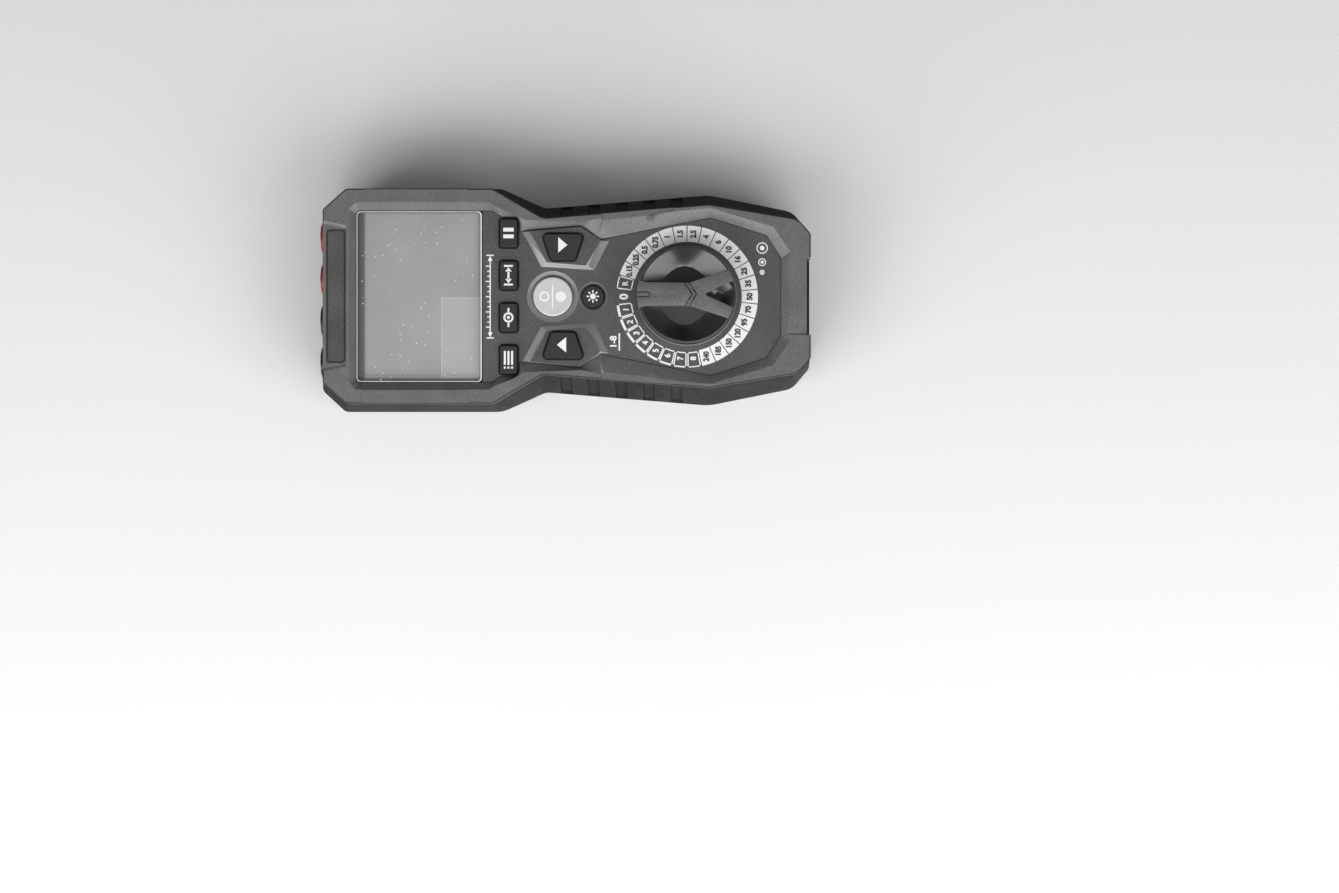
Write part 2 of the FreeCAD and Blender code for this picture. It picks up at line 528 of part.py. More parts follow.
def make_front_housing():
    """The hard front shell: flanks under the rubber, a lip around it, and the sunken face."""
    piece = Piece("front_housing")
    piece.loft([(inset(SEAM, "rubber_wall"), "split_level"), (inset(FRAME_SEAM, "rubber_wall"), "flank_top")])
    lip_low = "crest_level - frame_chamfer"
    piece.loft([(FRAME, "flank_top"), (FRAME, lip_low), (inset(FRAME, "frame_chamfer"), "crest_level")])
    wall = "rubber_wall + shell_wall"
    piece.loft([(inset(SEAM, wall), "split_level"), (inset(FRAME_SEAM, wall), "face_plate_under")], cut=True)
    piece.loft([(FACE_FLOOR, "panel_level"), (FACE_CREST, "crest_level")], cut=True)
    piece.pocket([FACE_FLOOR], FACE_BASE, "panel_level")
    piece.pocket([rectangle("-window_half + window_ledge", "window_half - window_ledge",
                            f"{DISPLAY_LOW} + window_ledge", f"{DISPLAY_TOP} - window_ledge", "ledge_corner")],
                 "face_plate_under", FACE_BASE)
    cut_key_holes(piece, "face_plate_under", FACE_BASE)
    piece.pocket([ring("0", DIAL, "shaft_radius + shaft_gap")], "face_plate_under", FACE_BASE)
    bosses = [ring(x, y, "boss_radius") for x, y in CASE_SCREWS]
    piece.pad(bosses, "split_level", "face_plate_under + root")
    posts = [ring(x, y, "board_post_radius") for x, y in BOARD_SCREWS]
    piece.pad(posts, BOARD_TOP, "face_plate_under + root")
    detent = "rotor_radius + detent_gap"
    piece.pad([ring("0", DIAL, f"{detent} + detent_wall"), ring("0", DIAL, detent)],
              f"{FLANGE_TOP} - rotor_thickness", "face_plate_under")
    piece.pocket([ring(x, y, "screw_radius + screw_gap") for x, y in CASE_SCREWS],
                 "split_level", f"{SCREW_TOP} + screw_tip_gap")
    piece.pocket([ring(x, y, "board_screw_radius + screw_gap") for x, y in BOARD_SCREWS],
                 BOARD_TOP, "face_plate_under")
    cut_frame_steps(piece)
    piece.pocket([PLATE], f"{PLATE_TOP} - plate_depth", PLATE_TOP)
    cut_sockets(piece, *END_WALL)
    cut_end_notch(piece, "end_notch_floor", "crest_level")
    return piece


def make_front_grip():
    """The rubber flank moulded around the front shell, with its slanted grip grooves."""
    piece = Piece("front_grip")
    piece.loft([(SIDE, "split_level"), (FRAME, "flank_top")])
    piece.loft([(inset(SEAM, "rubber_wall"), "split_level"), (inset(FRAME_SEAM, "rubber_wall"), "flank_top")],
               cut=True)
    cut_sockets(piece, *END_WALL)
    cut_end_notch(piece, "end_notch_floor", "flank_top")
    slope = f"(hip_half - waist_half) / (({WAIST}) - ({HIP}))"

    def groove(level, foot, length):
        """One groove's outline at a level, with its inner side sunk in the flank."""
        top = f"{WAIST} - groove_first"
        low = f"{WAIST} - groove_first - {length}"
        return [(f"{foot} - groove_depth", f"{top} - {length}", "0"),
                (f"{foot} + groove_reach", f"{low} - groove_tip", "0"), (f"{foot} + groove_reach", top, "0"),
                (f"{foot} - groove_depth", f"{top} - groove_tip", "0")], level

    start = f"{slope} * groove_first"
    cut = piece.loft([groove("split_level", f"waist_half + {start}", "groove_width"),
                      groove("flank_top", f"waist_half - grip_flare + {start}", "groove_width")], cut=True)
    guide = piece.sketch([], "split_level")
    guide.addGeometry(Part.LineSegment(FreeCAD.Vector(value("waist_half"), value(WAIST), 0),
                                       FreeCAD.Vector(value("hip_half"), value(HIP), 0)), True)
    row = piece.feature("PartDesign::MultiTransform")
    row.Originals = [cut]
    line = piece.feature("PartDesign::LinearPattern")
    line.Direction = (guide, ["Axis0"])
    line.Occurrences = 5
    line.setExpression("Length", bound("4 * groove_pitch"))
    other_side = piece.feature("PartDesign::Mirrored")
    other_side.MirrorPlane = (piece.plane("YZ_Plane"), [""])
    row.Transformations = [line, other_side]
    piece.body.Tip = row
    return piece


def rear_core(piece, wall, low, cut=False):
    """The rear shell's tapered form, inside the side outline by a wall."""
    piece.loft([(inset(SEAM, f"{wall} + back_chamfer"), low),
                (inset(SEAM, f"{wall} + back_draft"), f"{low} + back_edge_level - back_level"),
                (inset(SEAM, wall), "split_level")], cut=cut)


def make_rear_housing():
    """The hard rear shell with the battery bay, the stand's recess and the screw wells."""
    piece = Piece("rear_housing")
    rear_core(piece, "rubber_wall", "back_level")
    rear_core(piece, "rubber_wall + shell_wall", BACK_IN, cut=True)
    piece.pad([rectangle(f"-({BAY_HALF}) - bay_wall", f"{BAY_HALF} + bay_wall", f"{BAY_LOW} - bay_wall",
                         f"{BAY_HIGH} + bay_wall")], f"{BACK_IN} - deep_root", f"{BAY_ROOF} + shell_wall")
    wall = "stand_side_wall"
    piece.pad([rectangle(f"-({RECESS_HALF}) - {wall}", f"{RECESS_HALF} + {wall}", f"{RECESS_LOW} - stand_end_wall",
                         f"{RECESS_HIGH} + {wall}")], f"{BACK_IN} - deep_root", f"{RECESS_ROOF} + stand_recess_roof")
    piece.pad([ring(x, y, "rear_boss_radius") for x, y in CASE_SCREWS], f"{BACK_IN} - deep_root", "split_level")
    piece.pocket([rectangle(f"-({BAY_HALF})", BAY_HALF, BAY_LOW, BAY_HIGH)], "back_level", BAY_ROOF)
    piece.pocket([inset(DOOR, "-door_gap")], "back_level", DOOR_IN)
    tip = f"{DOOR_IN} + door_bite + door_tip_gap"
    piece.pad([ring("0", DOOR_SCREW, "door_boss_radius")], DOOR_IN, f"{tip} + door_boss_cap")
    piece.pocket([ring("0", DOOR_SCREW, "door_screw_radius + screw_gap")], DOOR_IN, tip)
    piece.pocket([rectangle(f"-({RECESS_HALF})", RECESS_HALF, RECESS_LOW, RECESS_HIGH, "recess_corner")],
                 "back_level", RECESS_ROOF)
    reach = f"{RECESS_HALF} + stand_pin_length + pin_end_gap"
    hole = ring(PIVOT, "stand_pivot_level", "stand_pivot_radius + stand_pivot_gap")
    piece.pocket([hole], f"-({reach})", reach, axis="X")
    piece.pocket([ring(x, y, "screw_well_radius") for x, y in CASE_SCREWS], "back_level", "screw_well_top")
    piece.pocket([ring(x, y, "screw_radius + screw_gap") for x, y in CASE_SCREWS],
                 "screw_well_top", "split_level")
    seal = "rubber_wall + (shell_wall - seal_width) / 2"
    piece.pocket([inset(SEAM, seal), inset(SEAM, f"{seal} + seal_width")], "split_level - seal_depth",
                 "split_level")
    cut_sockets(piece, *END_WALL)
    return piece


def make_rear_grip():
    """The rubber flank moulded around the rear shell; its rim is what the meter lies on."""
    piece = Piece("rear_grip")
    piece.loft([(inset(SIDE, "back_chamfer"), "0"), (inset(SIDE, "back_draft"), "back_edge_level"),
                (SIDE, "split_level")])
    rear_core(piece, "rubber_wall", "back_level", cut=True)
    piece.pocket([inset(SEAM, "back_chamfer + rim_width")], "0", "back_level")
    cut_sockets(piece, *END_WALL)
    return piece


def make_housing_seal():
    """The rubber ring between the two shells."""
    piece = Piece("housing_seal")
    seal = "rubber_wall + (shell_wall - seal_width) / 2"
    piece.pad([inset(SEAM, seal), inset(SEAM, f"{seal} + seal_width")], "split_level - seal_depth",
              "split_level")
    cut_sockets(piece, *END_WALL)
    return piece


# The raised bed around an arrow key: corners from the key's own edges, at its foot and at its top
BED_FOOT = [("arrow_outer + 0.8", "arrow_outer_half + 7.85"), ("arrow_inner - 2.3", "arrow_inner_half + 4.05"),
            ("arrow_inner - 3.7", "-(arrow_inner_half + 7.55)"), ("arrow_outer - 2.6", "-(arrow_outer_half + 10.05)"),
            ("arrow_outer - 2.4", "-(arrow_outer_half + 6.85)"), ("arrow_outer + 2.9", "-(arrow_outer_half - 1.65)")]
BED_TOP = [("arrow_outer + 1.0", "arrow_outer_half + 4.85"), ("arrow_inner - 0.7", "arrow_inner_half + 1.75"),
           ("arrow_inner - 2.0", "-(arrow_inner_half + 4.35)"), ("arrow_outer - 3.0", "-(arrow_outer_half + 6.35)"),
           ("arrow_outer - 2.3", "-(arrow_outer_half + 5.85)"), ("arrow_outer + 2.8", "-(arrow_outer_half - 1.35)")]


def make_face_panel():
    """The printed face sheet with two raised beds for the arrow keys and cones at the round keys."""
    piece = Piece("face_panel")
    top = [("window_half", f"{DISPLAY_LOW} - window_gap + panel_gap", "panel_corner")]
    piece.pad([inset(mirrored(top + PANEL_HALF), "panel_gap")], FACE_BASE, "panel_level")
    raised = "panel_level + plateau_rise"
    for side in (1, -1):
        sections = []
        for level, bed in (("panel_level", BED_FOOT), (raised, BED_TOP)):
            corners = [(f"{side} * ({x})", f"{ARROW} + {y}", "0") for x, y in bed]
            sections.append((corners[::side], level))
        piece.loft(sections)
    cut_key_holes(piece, FACE_BASE, raised)
    for name, cone in (("metal_select_key", "select_cone"), ("backlight_key", "light_cone")):
        y, radius = ROUND_KEYS[name]
        hole = f"{radius} + key_gap"
        inner, floor = f"{hole} - cone_overlap", "panel_level - cone_depth"
        piece.turn([(inner, floor, "0"), (hole, floor, "0"), (cone, "panel_level", "0"),
                    (inner, "panel_level", "0")], y=y, cut=True)
    piece.pocket([ring("0", DIAL, "shaft_radius + panel_shaft_gap")], FACE_BASE, "panel_level")
    return piece


def make_label_plate():
    """The bare plate let into the frame above the display."""
    piece = Piece("label_plate")
    piece.pad([inset(PLATE, "plate_gap")], f"{PLATE_TOP} - plate_depth", f"{PLATE_TOP} - plate_sunk")
    return piece


def make_display():
    """Window, glass, holder, diffuser and the rubber contact strips under the glass."""
    window = Piece("display_window")
    window.pad([rectangle("-window_half + window_side_gap", "window_half - window_side_gap",
                          f"{DISPLAY_LOW} + window_gap", f"{DISPLAY_TOP} - window_side_gap", "window_corner")],
               FACE_BASE, f"{FACE_BASE} + window_thickness")
    edge = "(window_ledge + glass_gap)"
    glass_loop = rectangle(f"-window_half + {edge}", f"window_half - {edge}", f"{DISPLAY_LOW} + {edge}",
                           f"{DISPLAY_TOP} - {edge}")
    glass = Piece("lcd_glass")
    glass_top = f"{FACE_BASE} - glass_drop"
    glass_low = f"{glass_top} - glass_thickness"
    glass.pad([glass_loop], glass_low, glass_top)
    holder = Piece("lcd_holder")
    inner = inset(glass_loop, "holder_width")
    holder.pad([inset(glass_loop, "-holder_rim"), inner], BOARD_TOP, glass_low)
    strip_loops = [rectangle("-window_half + strip_end", "window_half - strip_end", low, f"{low} + strip_width")
                   for low in (f"{DISPLAY_LOW} + {edge} + strip_edge",
                               f"{DISPLAY_TOP} - {edge} - strip_edge - strip_width")]
    holder.pocket([inset(loop, "-strip_gap") for loop in strip_loops], BOARD_TOP, glass_low)
    strips = Piece("contact_strips")
    strips.pad(strip_loops, BOARD_TOP, glass_low)
    diffuser = Piece("backlight_diffuser")
    diffuser_top = f"{glass_low} - diffuser_gap"
    diffuser.pad([inset(inner, "diffuser_side_gap")], f"{diffuser_top} - diffuser_thickness", diffuser_top)
    return [window, glass, holder, strips, diffuser]


def make_key(name):
    """A key cap with the flange that keeps it in and the plunger that presses its dome."""
    piece = Piece(name)
    flange_low = f"{FLANGE_TOP} - key_flange_thickness"
    if name in ROUND_KEYS:
        y, radius = ROUND_KEYS[name]
        cap, flange, middle = ring("0", y, radius), ring("0", y, f"{radius} + key_flange"), ("0", y)
        rise, edge = "round_key_rise", "round_key_edge"
    else:
        cap = FLAT_KEYS[name]
        flange = inset(cap, "-key_flange")
        if name in FUNCTION_KEYS:
            middle, rise = (f"{FUNCTION_KEYS[name]} * key_pitch", KEY_ROW), "key_rise"
        else:
            side = 1 if name == "down_key" else -1
            middle, rise = (f"{side} * (arrow_inner + arrow_outer) / 2", ARROW), "key_rise + plateau_rise"
        edge = "key_edge"
    piece.pad([ring(*middle, "plunger_radius")], f"{flange_low} - plunger_length", flange_low)
    piece.pad([flange], flange_low, FLANGE_TOP)
    piece.pad([cap], FLANGE_TOP, f"panel_level + {rise}")
    piece.round_top(edge)
    return piece


def make_keypad_mat():
    """The silicone sheet on the board with a raised dome pad under every key."""
    piece = Piece("keypad_mat")
    top = f"{BOARD_TOP} + mat_thickness"
    piece.pad([rectangle("-mat_half", "mat_half", f"{LIGHT} - mat_low_run", f"{KEY_ROW} + mat_high_run",
                         "mat_corner")], BOARD_TOP, top)
    spots = [(f"{place} * key_pitch", KEY_ROW) for place in FUNCTION_KEYS.values()]
    spots += [(f"{side} * (arrow_inner + arrow_outer) / 2", ARROW) for side in (1, -1)]
    spots += [("0", y) for y, _ in ROUND_KEYS.values()]
    piece.pad([ring(x, y, "plunger_radius + mat_pad_rim") for x, y in spots], f"{top} - root", f"{top} + mat_bump")
    return piece


def make_knob():
    """The function knob: a dished disc on a shaft, with a forked bar across it and a cap plate on the bar."""
    knob = Piece("function_knob")
    low = "panel_level + knob_lift"
    rim = f"{low} + knob_rim_height"
    knob.turn([("0", FLANGE_TOP, "0"), ("shaft_radius", FLANGE_TOP, "0"), ("shaft_radius", low, "0"),
               ("knob_radius", low, "0"), ("knob_radius", rim, "0"),
               ("knob_radius - rim_bevel", f"{rim} + rim_bevel", "0"),
               ("knob_radius - knob_shoulder", f"{KNOB_TOP} - knob_shoulder_drop", "0"),
               ("knob_radius - knob_top_setback", KNOB_TOP, "0"), ("0", KNOB_TOP, "0")], y=DIAL)
    floor = f"{KNOB_TOP} - dish_depth"
    knob.turn([("0", floor, "0"), ("dish_floor_radius", floor, "0"), ("knob_radius - dish_rim", KNOB_TOP, "0"),
               ("0", KNOB_TOP, "0")], y=DIAL, cut=True)
    tip = f"{DIAL} + knob_radius - knob_top_setback"
    tail = f"{DIAL} - knob_radius + fork_setback"
    half = [("bar_half - bar_corner", tip, "0"), ("bar_half", f"{tip} - bar_corner", "0"),
            ("bar_half", f"{DIAL} - bar_waist_drop", "0"), ("fork_half", tail, "0"),
            ("fork_half - fork_arm", f"{tail} - fork_end_drop", "0")]
    outline = [(f"-({x})", y, r) for x, y, r in half] + [("0", f"{DIAL} - fork_root_drop", "0")] + half[::-1]
    knob.pad([outline], floor, KNOB_TOP)
    knob.pocket([ring("0", DIAL, "knob_screw_radius + screw_gap")], FLANGE_TOP, f"{FLANGE_TOP} + knob_screw_room")
    bar = Piece("knob_pointer")
    bar.pad([outline], KNOB_TOP, "overall_height")
    bar.pocket([rectangle("-slot_half", "slot_half", f"{tip} - slot_length", f"{tip} + overshoot")],
               "overall_height - slot_depth", "overall_height")
    return [knob, bar]


def make_rotary_switch():
    """Under the face: the rotor on the knob's shaft with its wipers, detent balls and springs."""
    rotor_low = f"{FLANGE_TOP} - rotor_thickness"
    rotor = Piece("switch_rotor")
    rotor.pad([ring("0", DIAL, "rotor_radius"), ring("0", DIAL, "knob_screw_radius + screw_gap")],
              rotor_low, FLANGE_TOP)
    middle = f"{rotor_low} + rotor_thickness / 2"
    bore = ring(DIAL, middle, "ball_radius + ball_gap")
    rotor.pocket([bore], "spring_seat", "rotor_radius + overshoot", axis="X")
    rotor.pocket([bore], "-rotor_radius - overshoot", "-spring_seat", axis="X")
    wipers = Piece("wiper_contacts")
    for side in (1, -1):
        y = f"{DIAL} + {side} * rotor_radius * wiper_share"
        leaf = rectangle("-wiper_half_length", "wiper_half_length", f"{y} - wiper_half_width",
                         f"{y} + wiper_half_width")
        wipers.pad([leaf], f"{rotor_low} - wiper_thickness", rotor_low)
        for place in (-1, 0, 1):
            wipers.pad([ring(f"{place} * finger_pitch", y, "finger_radius")], f"{BOARD_TOP} + wiper_gap",
                       f"{rotor_low} - wiper_thickness / 2")
    balls = Piece("detent_balls")
    ball_x = "rotor_radius - ball_radius + detent_gap / 2"
    for side in (1, -1):
        ball = balls.feature("PartDesign::AdditiveSphere")
        ball.AttachmentSupport = [(balls.plane("XY_Plane"), "")]
        ball.MapMode = "FlatFace"
        for prop, size in (("Radius", "ball_radius"), ("AttachmentOffset.Base.x", f"{side} * ({ball_x})"),
                           ("AttachmentOffset.Base.y", DIAL), ("AttachmentOffset.Base.z", middle)):
            ball.setExpression(prop, bound(size))
    springs = Piece("detent_springs")
    screw = Piece("knob_screw")
    screw.pad([ring("0", DIAL, "knob_screw_radius + knob_screw_rim")], f"{rotor_low} - knob_screw_rim", rotor_low)
    screw.pad([ring("0", DIAL, "knob_screw_radius")], rotor_low, f"{FLANGE_TOP} + knob_screw_length")
    turns = 5
    coil = f"({ball_x} - ball_radius - spring_seat - 2 * ball_gap) / {turns}"
    for side in (1, -1):
        for turn in range(turns):
            ends = [f"{side} * (spring_seat + ball_gap + {step} * {coil})" for step in (turn, turn + 1)][::side]
            outer = f"ball_radius - ball_gap - {turn % 2} * coil_step"
            inner = "ball_radius - ball_gap - coil_wall"
            springs.pad([ring(DIAL, middle, outer), ring(DIAL, middle, inner)], *ends, axis="X")
    return [rotor, wipers, balls, springs, screw]


# What stands on the board's underside: chips by centre and half sides, and round cans by centre and radius
CHIPS = [("-8", f"{DISPLAY_LOW} + 17", 7, 7), ("10", f"{DISPLAY_LOW} + 15", 5, 4),
         ("-20", f"{DISPLAY_LOW} + 29", 4, 6), ("4", f"{DISPLAY_TOP} - 17", 10, 5), ("0", f"{ARROW} - 4", 6, 6),
         ("14", f"{ARROW} + 4", 4, 3), ("-16", f"{ARROW} - 8", 4, 4), ("9", f"{LIGHT} - 12", 5, 3),
         ("-10", f"{DIAL} - 20", 5, 4), ("8", f"{DIAL} - 22", 4, 4)]
CANS = [("22", f"{DISPLAY_TOP} - 18", 3.2), ("22", f"{DISPLAY_TOP} - 26", 3.2), ("-22", f"{DISPLAY_LOW} + 11", 4),
        ("18", f"{ARROW} - 8", 3.2), ("-18", f"{ARROW} + 10", 3.2)]


def make_board():
    """The main board with its parts, screws and buzzer."""
    board = Piece("main_board")
    half = [("board_end_half", f"{DISPLAY_TOP} + board_end_run", "board_corner / 2"),
            ("board_half", f"{DISPLAY_TOP} - board_edge_run", "board_corner / 2"),
            ("board_half", f"{DISPLAY_LOW} + board_edge_run", "board_corner / 2"),
            ("board_neck_half", f"{KEY_ROW} - board_neck_run", "board_corner"),
            ("board_waist_half", LIGHT, "board_corner"),
            ("board_hip_half", f"{DIAL} - board_hip_run", "board_corner"),
            ("board_foot_half", f"{DIAL} - board_foot_run", "board_corner")]
    board.pad([mirrored(half)], "board_level", BOARD_TOP)
    board.pocket([ring(x, y, "board_screw_radius + board_screw_gap") for x, y in BOARD_SCREWS], "board_level",
                 BOARD_TOP)
    screws = Piece("board_screws")
    spots = [ring(x, y, "board_screw_radius") for x, y in BOARD_SCREWS]
    screws.pad(spots, "board_level", "face_plate_under - board_screw_tip_gap")
    screws.pad([ring(x, y, "board_screw_radius + board_screw_rim") for x, y in BOARD_SCREWS],
               "board_level - board_screw_head", "board_level")
    parts = Piece("board_parts")
    chips = [rectangle(f"{x} - {a}", f"{x} + {a}", f"{y} - {b}", f"{y} + {b}") for x, y, a, b in CHIPS]
    parts.pad(chips, "board_level - board_thickness", "board_level")
    parts.pad([ring(f"{x}", y, f"{r}") for x, y, r in CANS], f"{BAY_ROOF} + shell_wall + part_gap", "board_level")
    buzzer = Piece("buzzer")
    y = f"{DISPLAY_LOW} + buzzer_rise"
    buzzer.pad([ring("buzzer_half", y, "buzzer_radius"), ring("buzzer_half", y, "buzzer_hole")],
               "board_level - buzzer_height", "board_level")
    return [board, screws, parts, buzzer]


def make_sockets():
    """Four shrouded 4 mm sockets in the display end, their block and the straps to the board."""
    pieces = []
    for name, place in JACKS.items():
        x = f"{place} * jack_pitch"
        end = "overall_length / 2"
        collar = Piece(f"jack_collar_{name}")
        wall_in = f"{COLLAR_LOW} + collar_floor"
        collar.turn_along_y([(COLLAR_LOW, "sleeve_radius + jack_gap", "0"), (COLLAR_LOW, "collar_radius", "0"),
                             (end, "collar_radius", "0"), (end, "collar_bore", "0"), (wall_in, "collar_bore", "0"),
                             (wall_in, "sleeve_radius + jack_gap", "0")], x, JACK_LEVEL)
        sleeve = Piece(f"jack_sleeve_{name}")
        mouth = f"{end} - jack_mouth"
        floor = f"{mouth} - jack_bore_length"
        rear, flange = f"{COLLAR_LOW} - sleeve_flange_length", "sleeve_radius + sleeve_flange"
        sleeve.turn_along_y([(rear, "0", "0"), (rear, flange, "0"),
                             (COLLAR_LOW, flange, "0"), (COLLAR_LOW, "sleeve_radius", "0"),
                             (mouth, "sleeve_radius", "0"), (mouth, "jack_bore", "0"), (floor, "jack_bore", "0"),
                             (floor, "0", "0")], x, JACK_LEVEL)
        pieces += [collar, sleeve]
    block = Piece("jack_block")
    reach = "1.5 * jack_pitch + collar_radius + block_wall"
    low, high = f"{COLLAR_LOW} + block_setback", "overall_length / 2 - end_wall_reach"
    block.pad([rectangle(f"-({reach})", reach, f"{JACK_LEVEL} - collar_radius - block_wall",
                         "board_level - block_board_gap", "block_corner")], low, high, axis="Y")
    bores = [ring(f"{place} * jack_pitch", JACK_LEVEL, "collar_radius + jack_gap") for place in JACKS.values()]
    block.pocket(bores, low, high, axis="Y")
    straps = Piece("jack_straps")
    back = f"{COLLAR_LOW} - sleeve_flange_length"
    loops = [rectangle(f"{place} * jack_pitch - strap_width / 2", f"{place} * jack_pitch + strap_width / 2",
                       f"{JACK_LEVEL} - strap_drop", "board_level") for place in JACKS.values()]
    straps.pad(loops, f"{back} - strap_thickness", back, axis="Y")
    return pieces + [block, straps]


def make_batteries():
    """Six cells in two rows, the springs and plates that join them, and the door with its gasket."""
    cells = Piece("batteries")
    springs = Piece("battery_springs")
    plates = Piece("battery_contacts")
    columns = [f"{place} * cell_pitch" for place in (-1, 0, 1)]
    for row in (0, 1):
        low = f"{BAY_LOW} + bay_end_room + {row} * cell_length"
        can_high = f"{low} + cell_length - cell_nub"
        cells.pad([ring(x, CELL_AXIS, "cell_radius") for x in columns], low, can_high, axis="Y")
        high = f"{low} + cell_length - cell_end_gap"
        cells.pad([ring(x, CELL_AXIS, "cell_nub_radius") for x in columns], can_high, high, axis="Y")
    turns = 3
    for turn in range(turns):
        low = f"{BAY_LOW} + contact_thickness + {turn} * (bay_end_room - contact_thickness) / {turns}"
        high = f"{low} + (bay_end_room - contact_thickness) / {turns}"
        radius = f"cell_nub_radius + spring_rim - {turn} * spring_taper"
        springs.pad([loop for x in columns for loop in (ring(x, CELL_AXIS, radius),
                                                        ring(x, CELL_AXIS, f"{radius} - spring_wall"))],
                    low, high, axis="Y")
    wide = [rectangle(f"{x} - contact_half", f"{x} + contact_half", f"{CELL_AXIS} - contact_rise",
                      f"{CELL_AXIS} + contact_rise") for x in columns]
    plates.pad(wide, BAY_LOW, f"{BAY_LOW} + contact_thickness", axis="Y")
    tops = f"{BAY_LOW} + bay_end_room + 2 * cell_length"
    plates.pad(wide, tops, BAY_HIGH, axis="Y")
    door = Piece("battery_door")
    door.pad([DOOR], "back_level", DOOR_IN)
    head_top = "back_level + door_head"
    door.pocket([ring("0", DOOR_SCREW, "door_head_radius + door_head_gap")], "back_level", head_top)
    door.pocket([ring("0", DOOR_SCREW, "door_screw_radius + door_head_gap")], head_top, DOOR_IN)
    screw = Piece("door_screw")
    head_low = "back_level + door_head_gap"
    screw.pad([ring("0", DOOR_SCREW, "door_head_radius")], head_low, head_top)
    screw.pad([ring("0", DOOR_SCREW, "door_screw_radius")], head_top, f"{DOOR_IN} + door_bite")
    screw.pocket([rectangle("-door_slot_half", "door_slot_half", f"{DOOR_SCREW} - door_slot_width",
                            f"{DOOR_SCREW} + door_slot_width")], head_low, f"{head_low} + door_slot_depth")
    gasket = Piece("door_gasket")
    inner = inset(rectangle(f"-({BAY_HALF})", BAY_HALF, BAY_LOW, BAY_HIGH, "gasket_corner"), "gasket_gap")
    gasket.pad([inner, inset(inner, "gasket_width")], DOOR_IN, f"{DOOR_IN} + gasket_thickness")
    return [cells, springs, plates, door, screw, gasket]


def make_tilt_stand():
    """The folding leg in the back, turning on a pin at each side."""
    piece = Piece("tilt_stand")
    low = "stand_pivot_level - stand_thickness / 2"
    high = "stand_pivot_level + stand_thickness / 2"
    half = [("stand_half", PIVOT, "0"), ("stand_half", f"{STAND_LOW} + stand_slant_rise", "stand_corner"),
            ("stand_half - stand_slant_run", STAND_LOW, "stand_corner")]
    piece.pad([mirrored(half)], low, high)
    piece.pad([ring(PIVOT, "stand_pivot_level", "stand_barrel")], "-stand_half", "stand_half", axis="X")
    reach = "stand_half + stand_gap + stand_pin_length"
    piece.pad([ring(PIVOT, "stand_pivot_level", "stand_pivot_radius")], f"-({reach})", reach, axis="X")
    ribs = int(value("(stand_length - rib_first) / (2 * rib_width)"))
    for number in range(ribs + 1):
        y = f"{STAND_LOW} + rib_first + {number} * 2 * rib_width"
        piece.pocket([rectangle("-stand_half + rib_setback", "stand_half - rib_setback", y, f"{y} + rib_width",
                                "rib_corner")], low, f"{low} + rib_depth")
    return piece


def make_case_screws():
    """The four long screws that come in from the back."""
    piece = Piece("case_screws")
    piece.pad([ring(x, y, "screw_head_radius") for x, y in CASE_SCREWS], "screw_well_top - screw_head",
              "screw_well_top")
    piece.pad([ring(x, y, "screw_radius") for x, y in CASE_SCREWS], "screw_well_top", SCREW_TOP)
    slots = [rectangle(f"{x} - screw_slot_half", f"{x} + screw_slot_half", f"{y} - screw_slot_width",
                       f"{y} + screw_slot_width") for x, y in CASE_SCREWS]
    piece.pocket(slots, "screw_well_top - screw_head", "screw_well_top - screw_head + screw_slot_depth")
    return piece


pieces = [make_front_housing(), make_front_grip(), make_rear_housing(), make_rear_grip(), make_housing_seal(),
          make_face_panel(), make_label_plate(), *make_display()]
pieces += [make_key(name) for name in (*FLAT_KEYS, *ROUND_KEYS)]
pieces += [make_keypad_mat(), *make_knob(), *make_rotary_switch(), *make_board(), *make_sockets(),
           *make_batteries(), make_tilt_stand(), make_case_screws()]
doc.recompute()

faults = [f"{part.Label} {part.State}" for part in doc.Objects
          if "Invalid" in part.State or "Error" in part.State]
for piece in pieces:
    shape = piece.body.Shape
    if shape.isNull() or not shape.isValid() or not shape.Solids:
        faults.append(f"{piece.body.Label} has no valid solid")
if faults:
    raise RuntimeError("; ".join(faults))

os.makedirs("parts", exist_ok=True)
for piece in pieces:
    piece.body.Shape.exportStep(f"parts/{piece.body.Label}.step")
    print(piece.body.Label, len(piece.body.Shape.Solids), round(piece.body.Shape.Volume, 1))
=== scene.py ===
# %% [markdown]
# # A hand-held cable length counter
# The counter lies on its back. Its display end points along +Y, its keys and its big rotary
# switch follow towards -Y, and its face looks up along +Z. Lengths are in metres, and `mm` turns
# millimetres into metres so that the numbers stay readable.

import json
import math

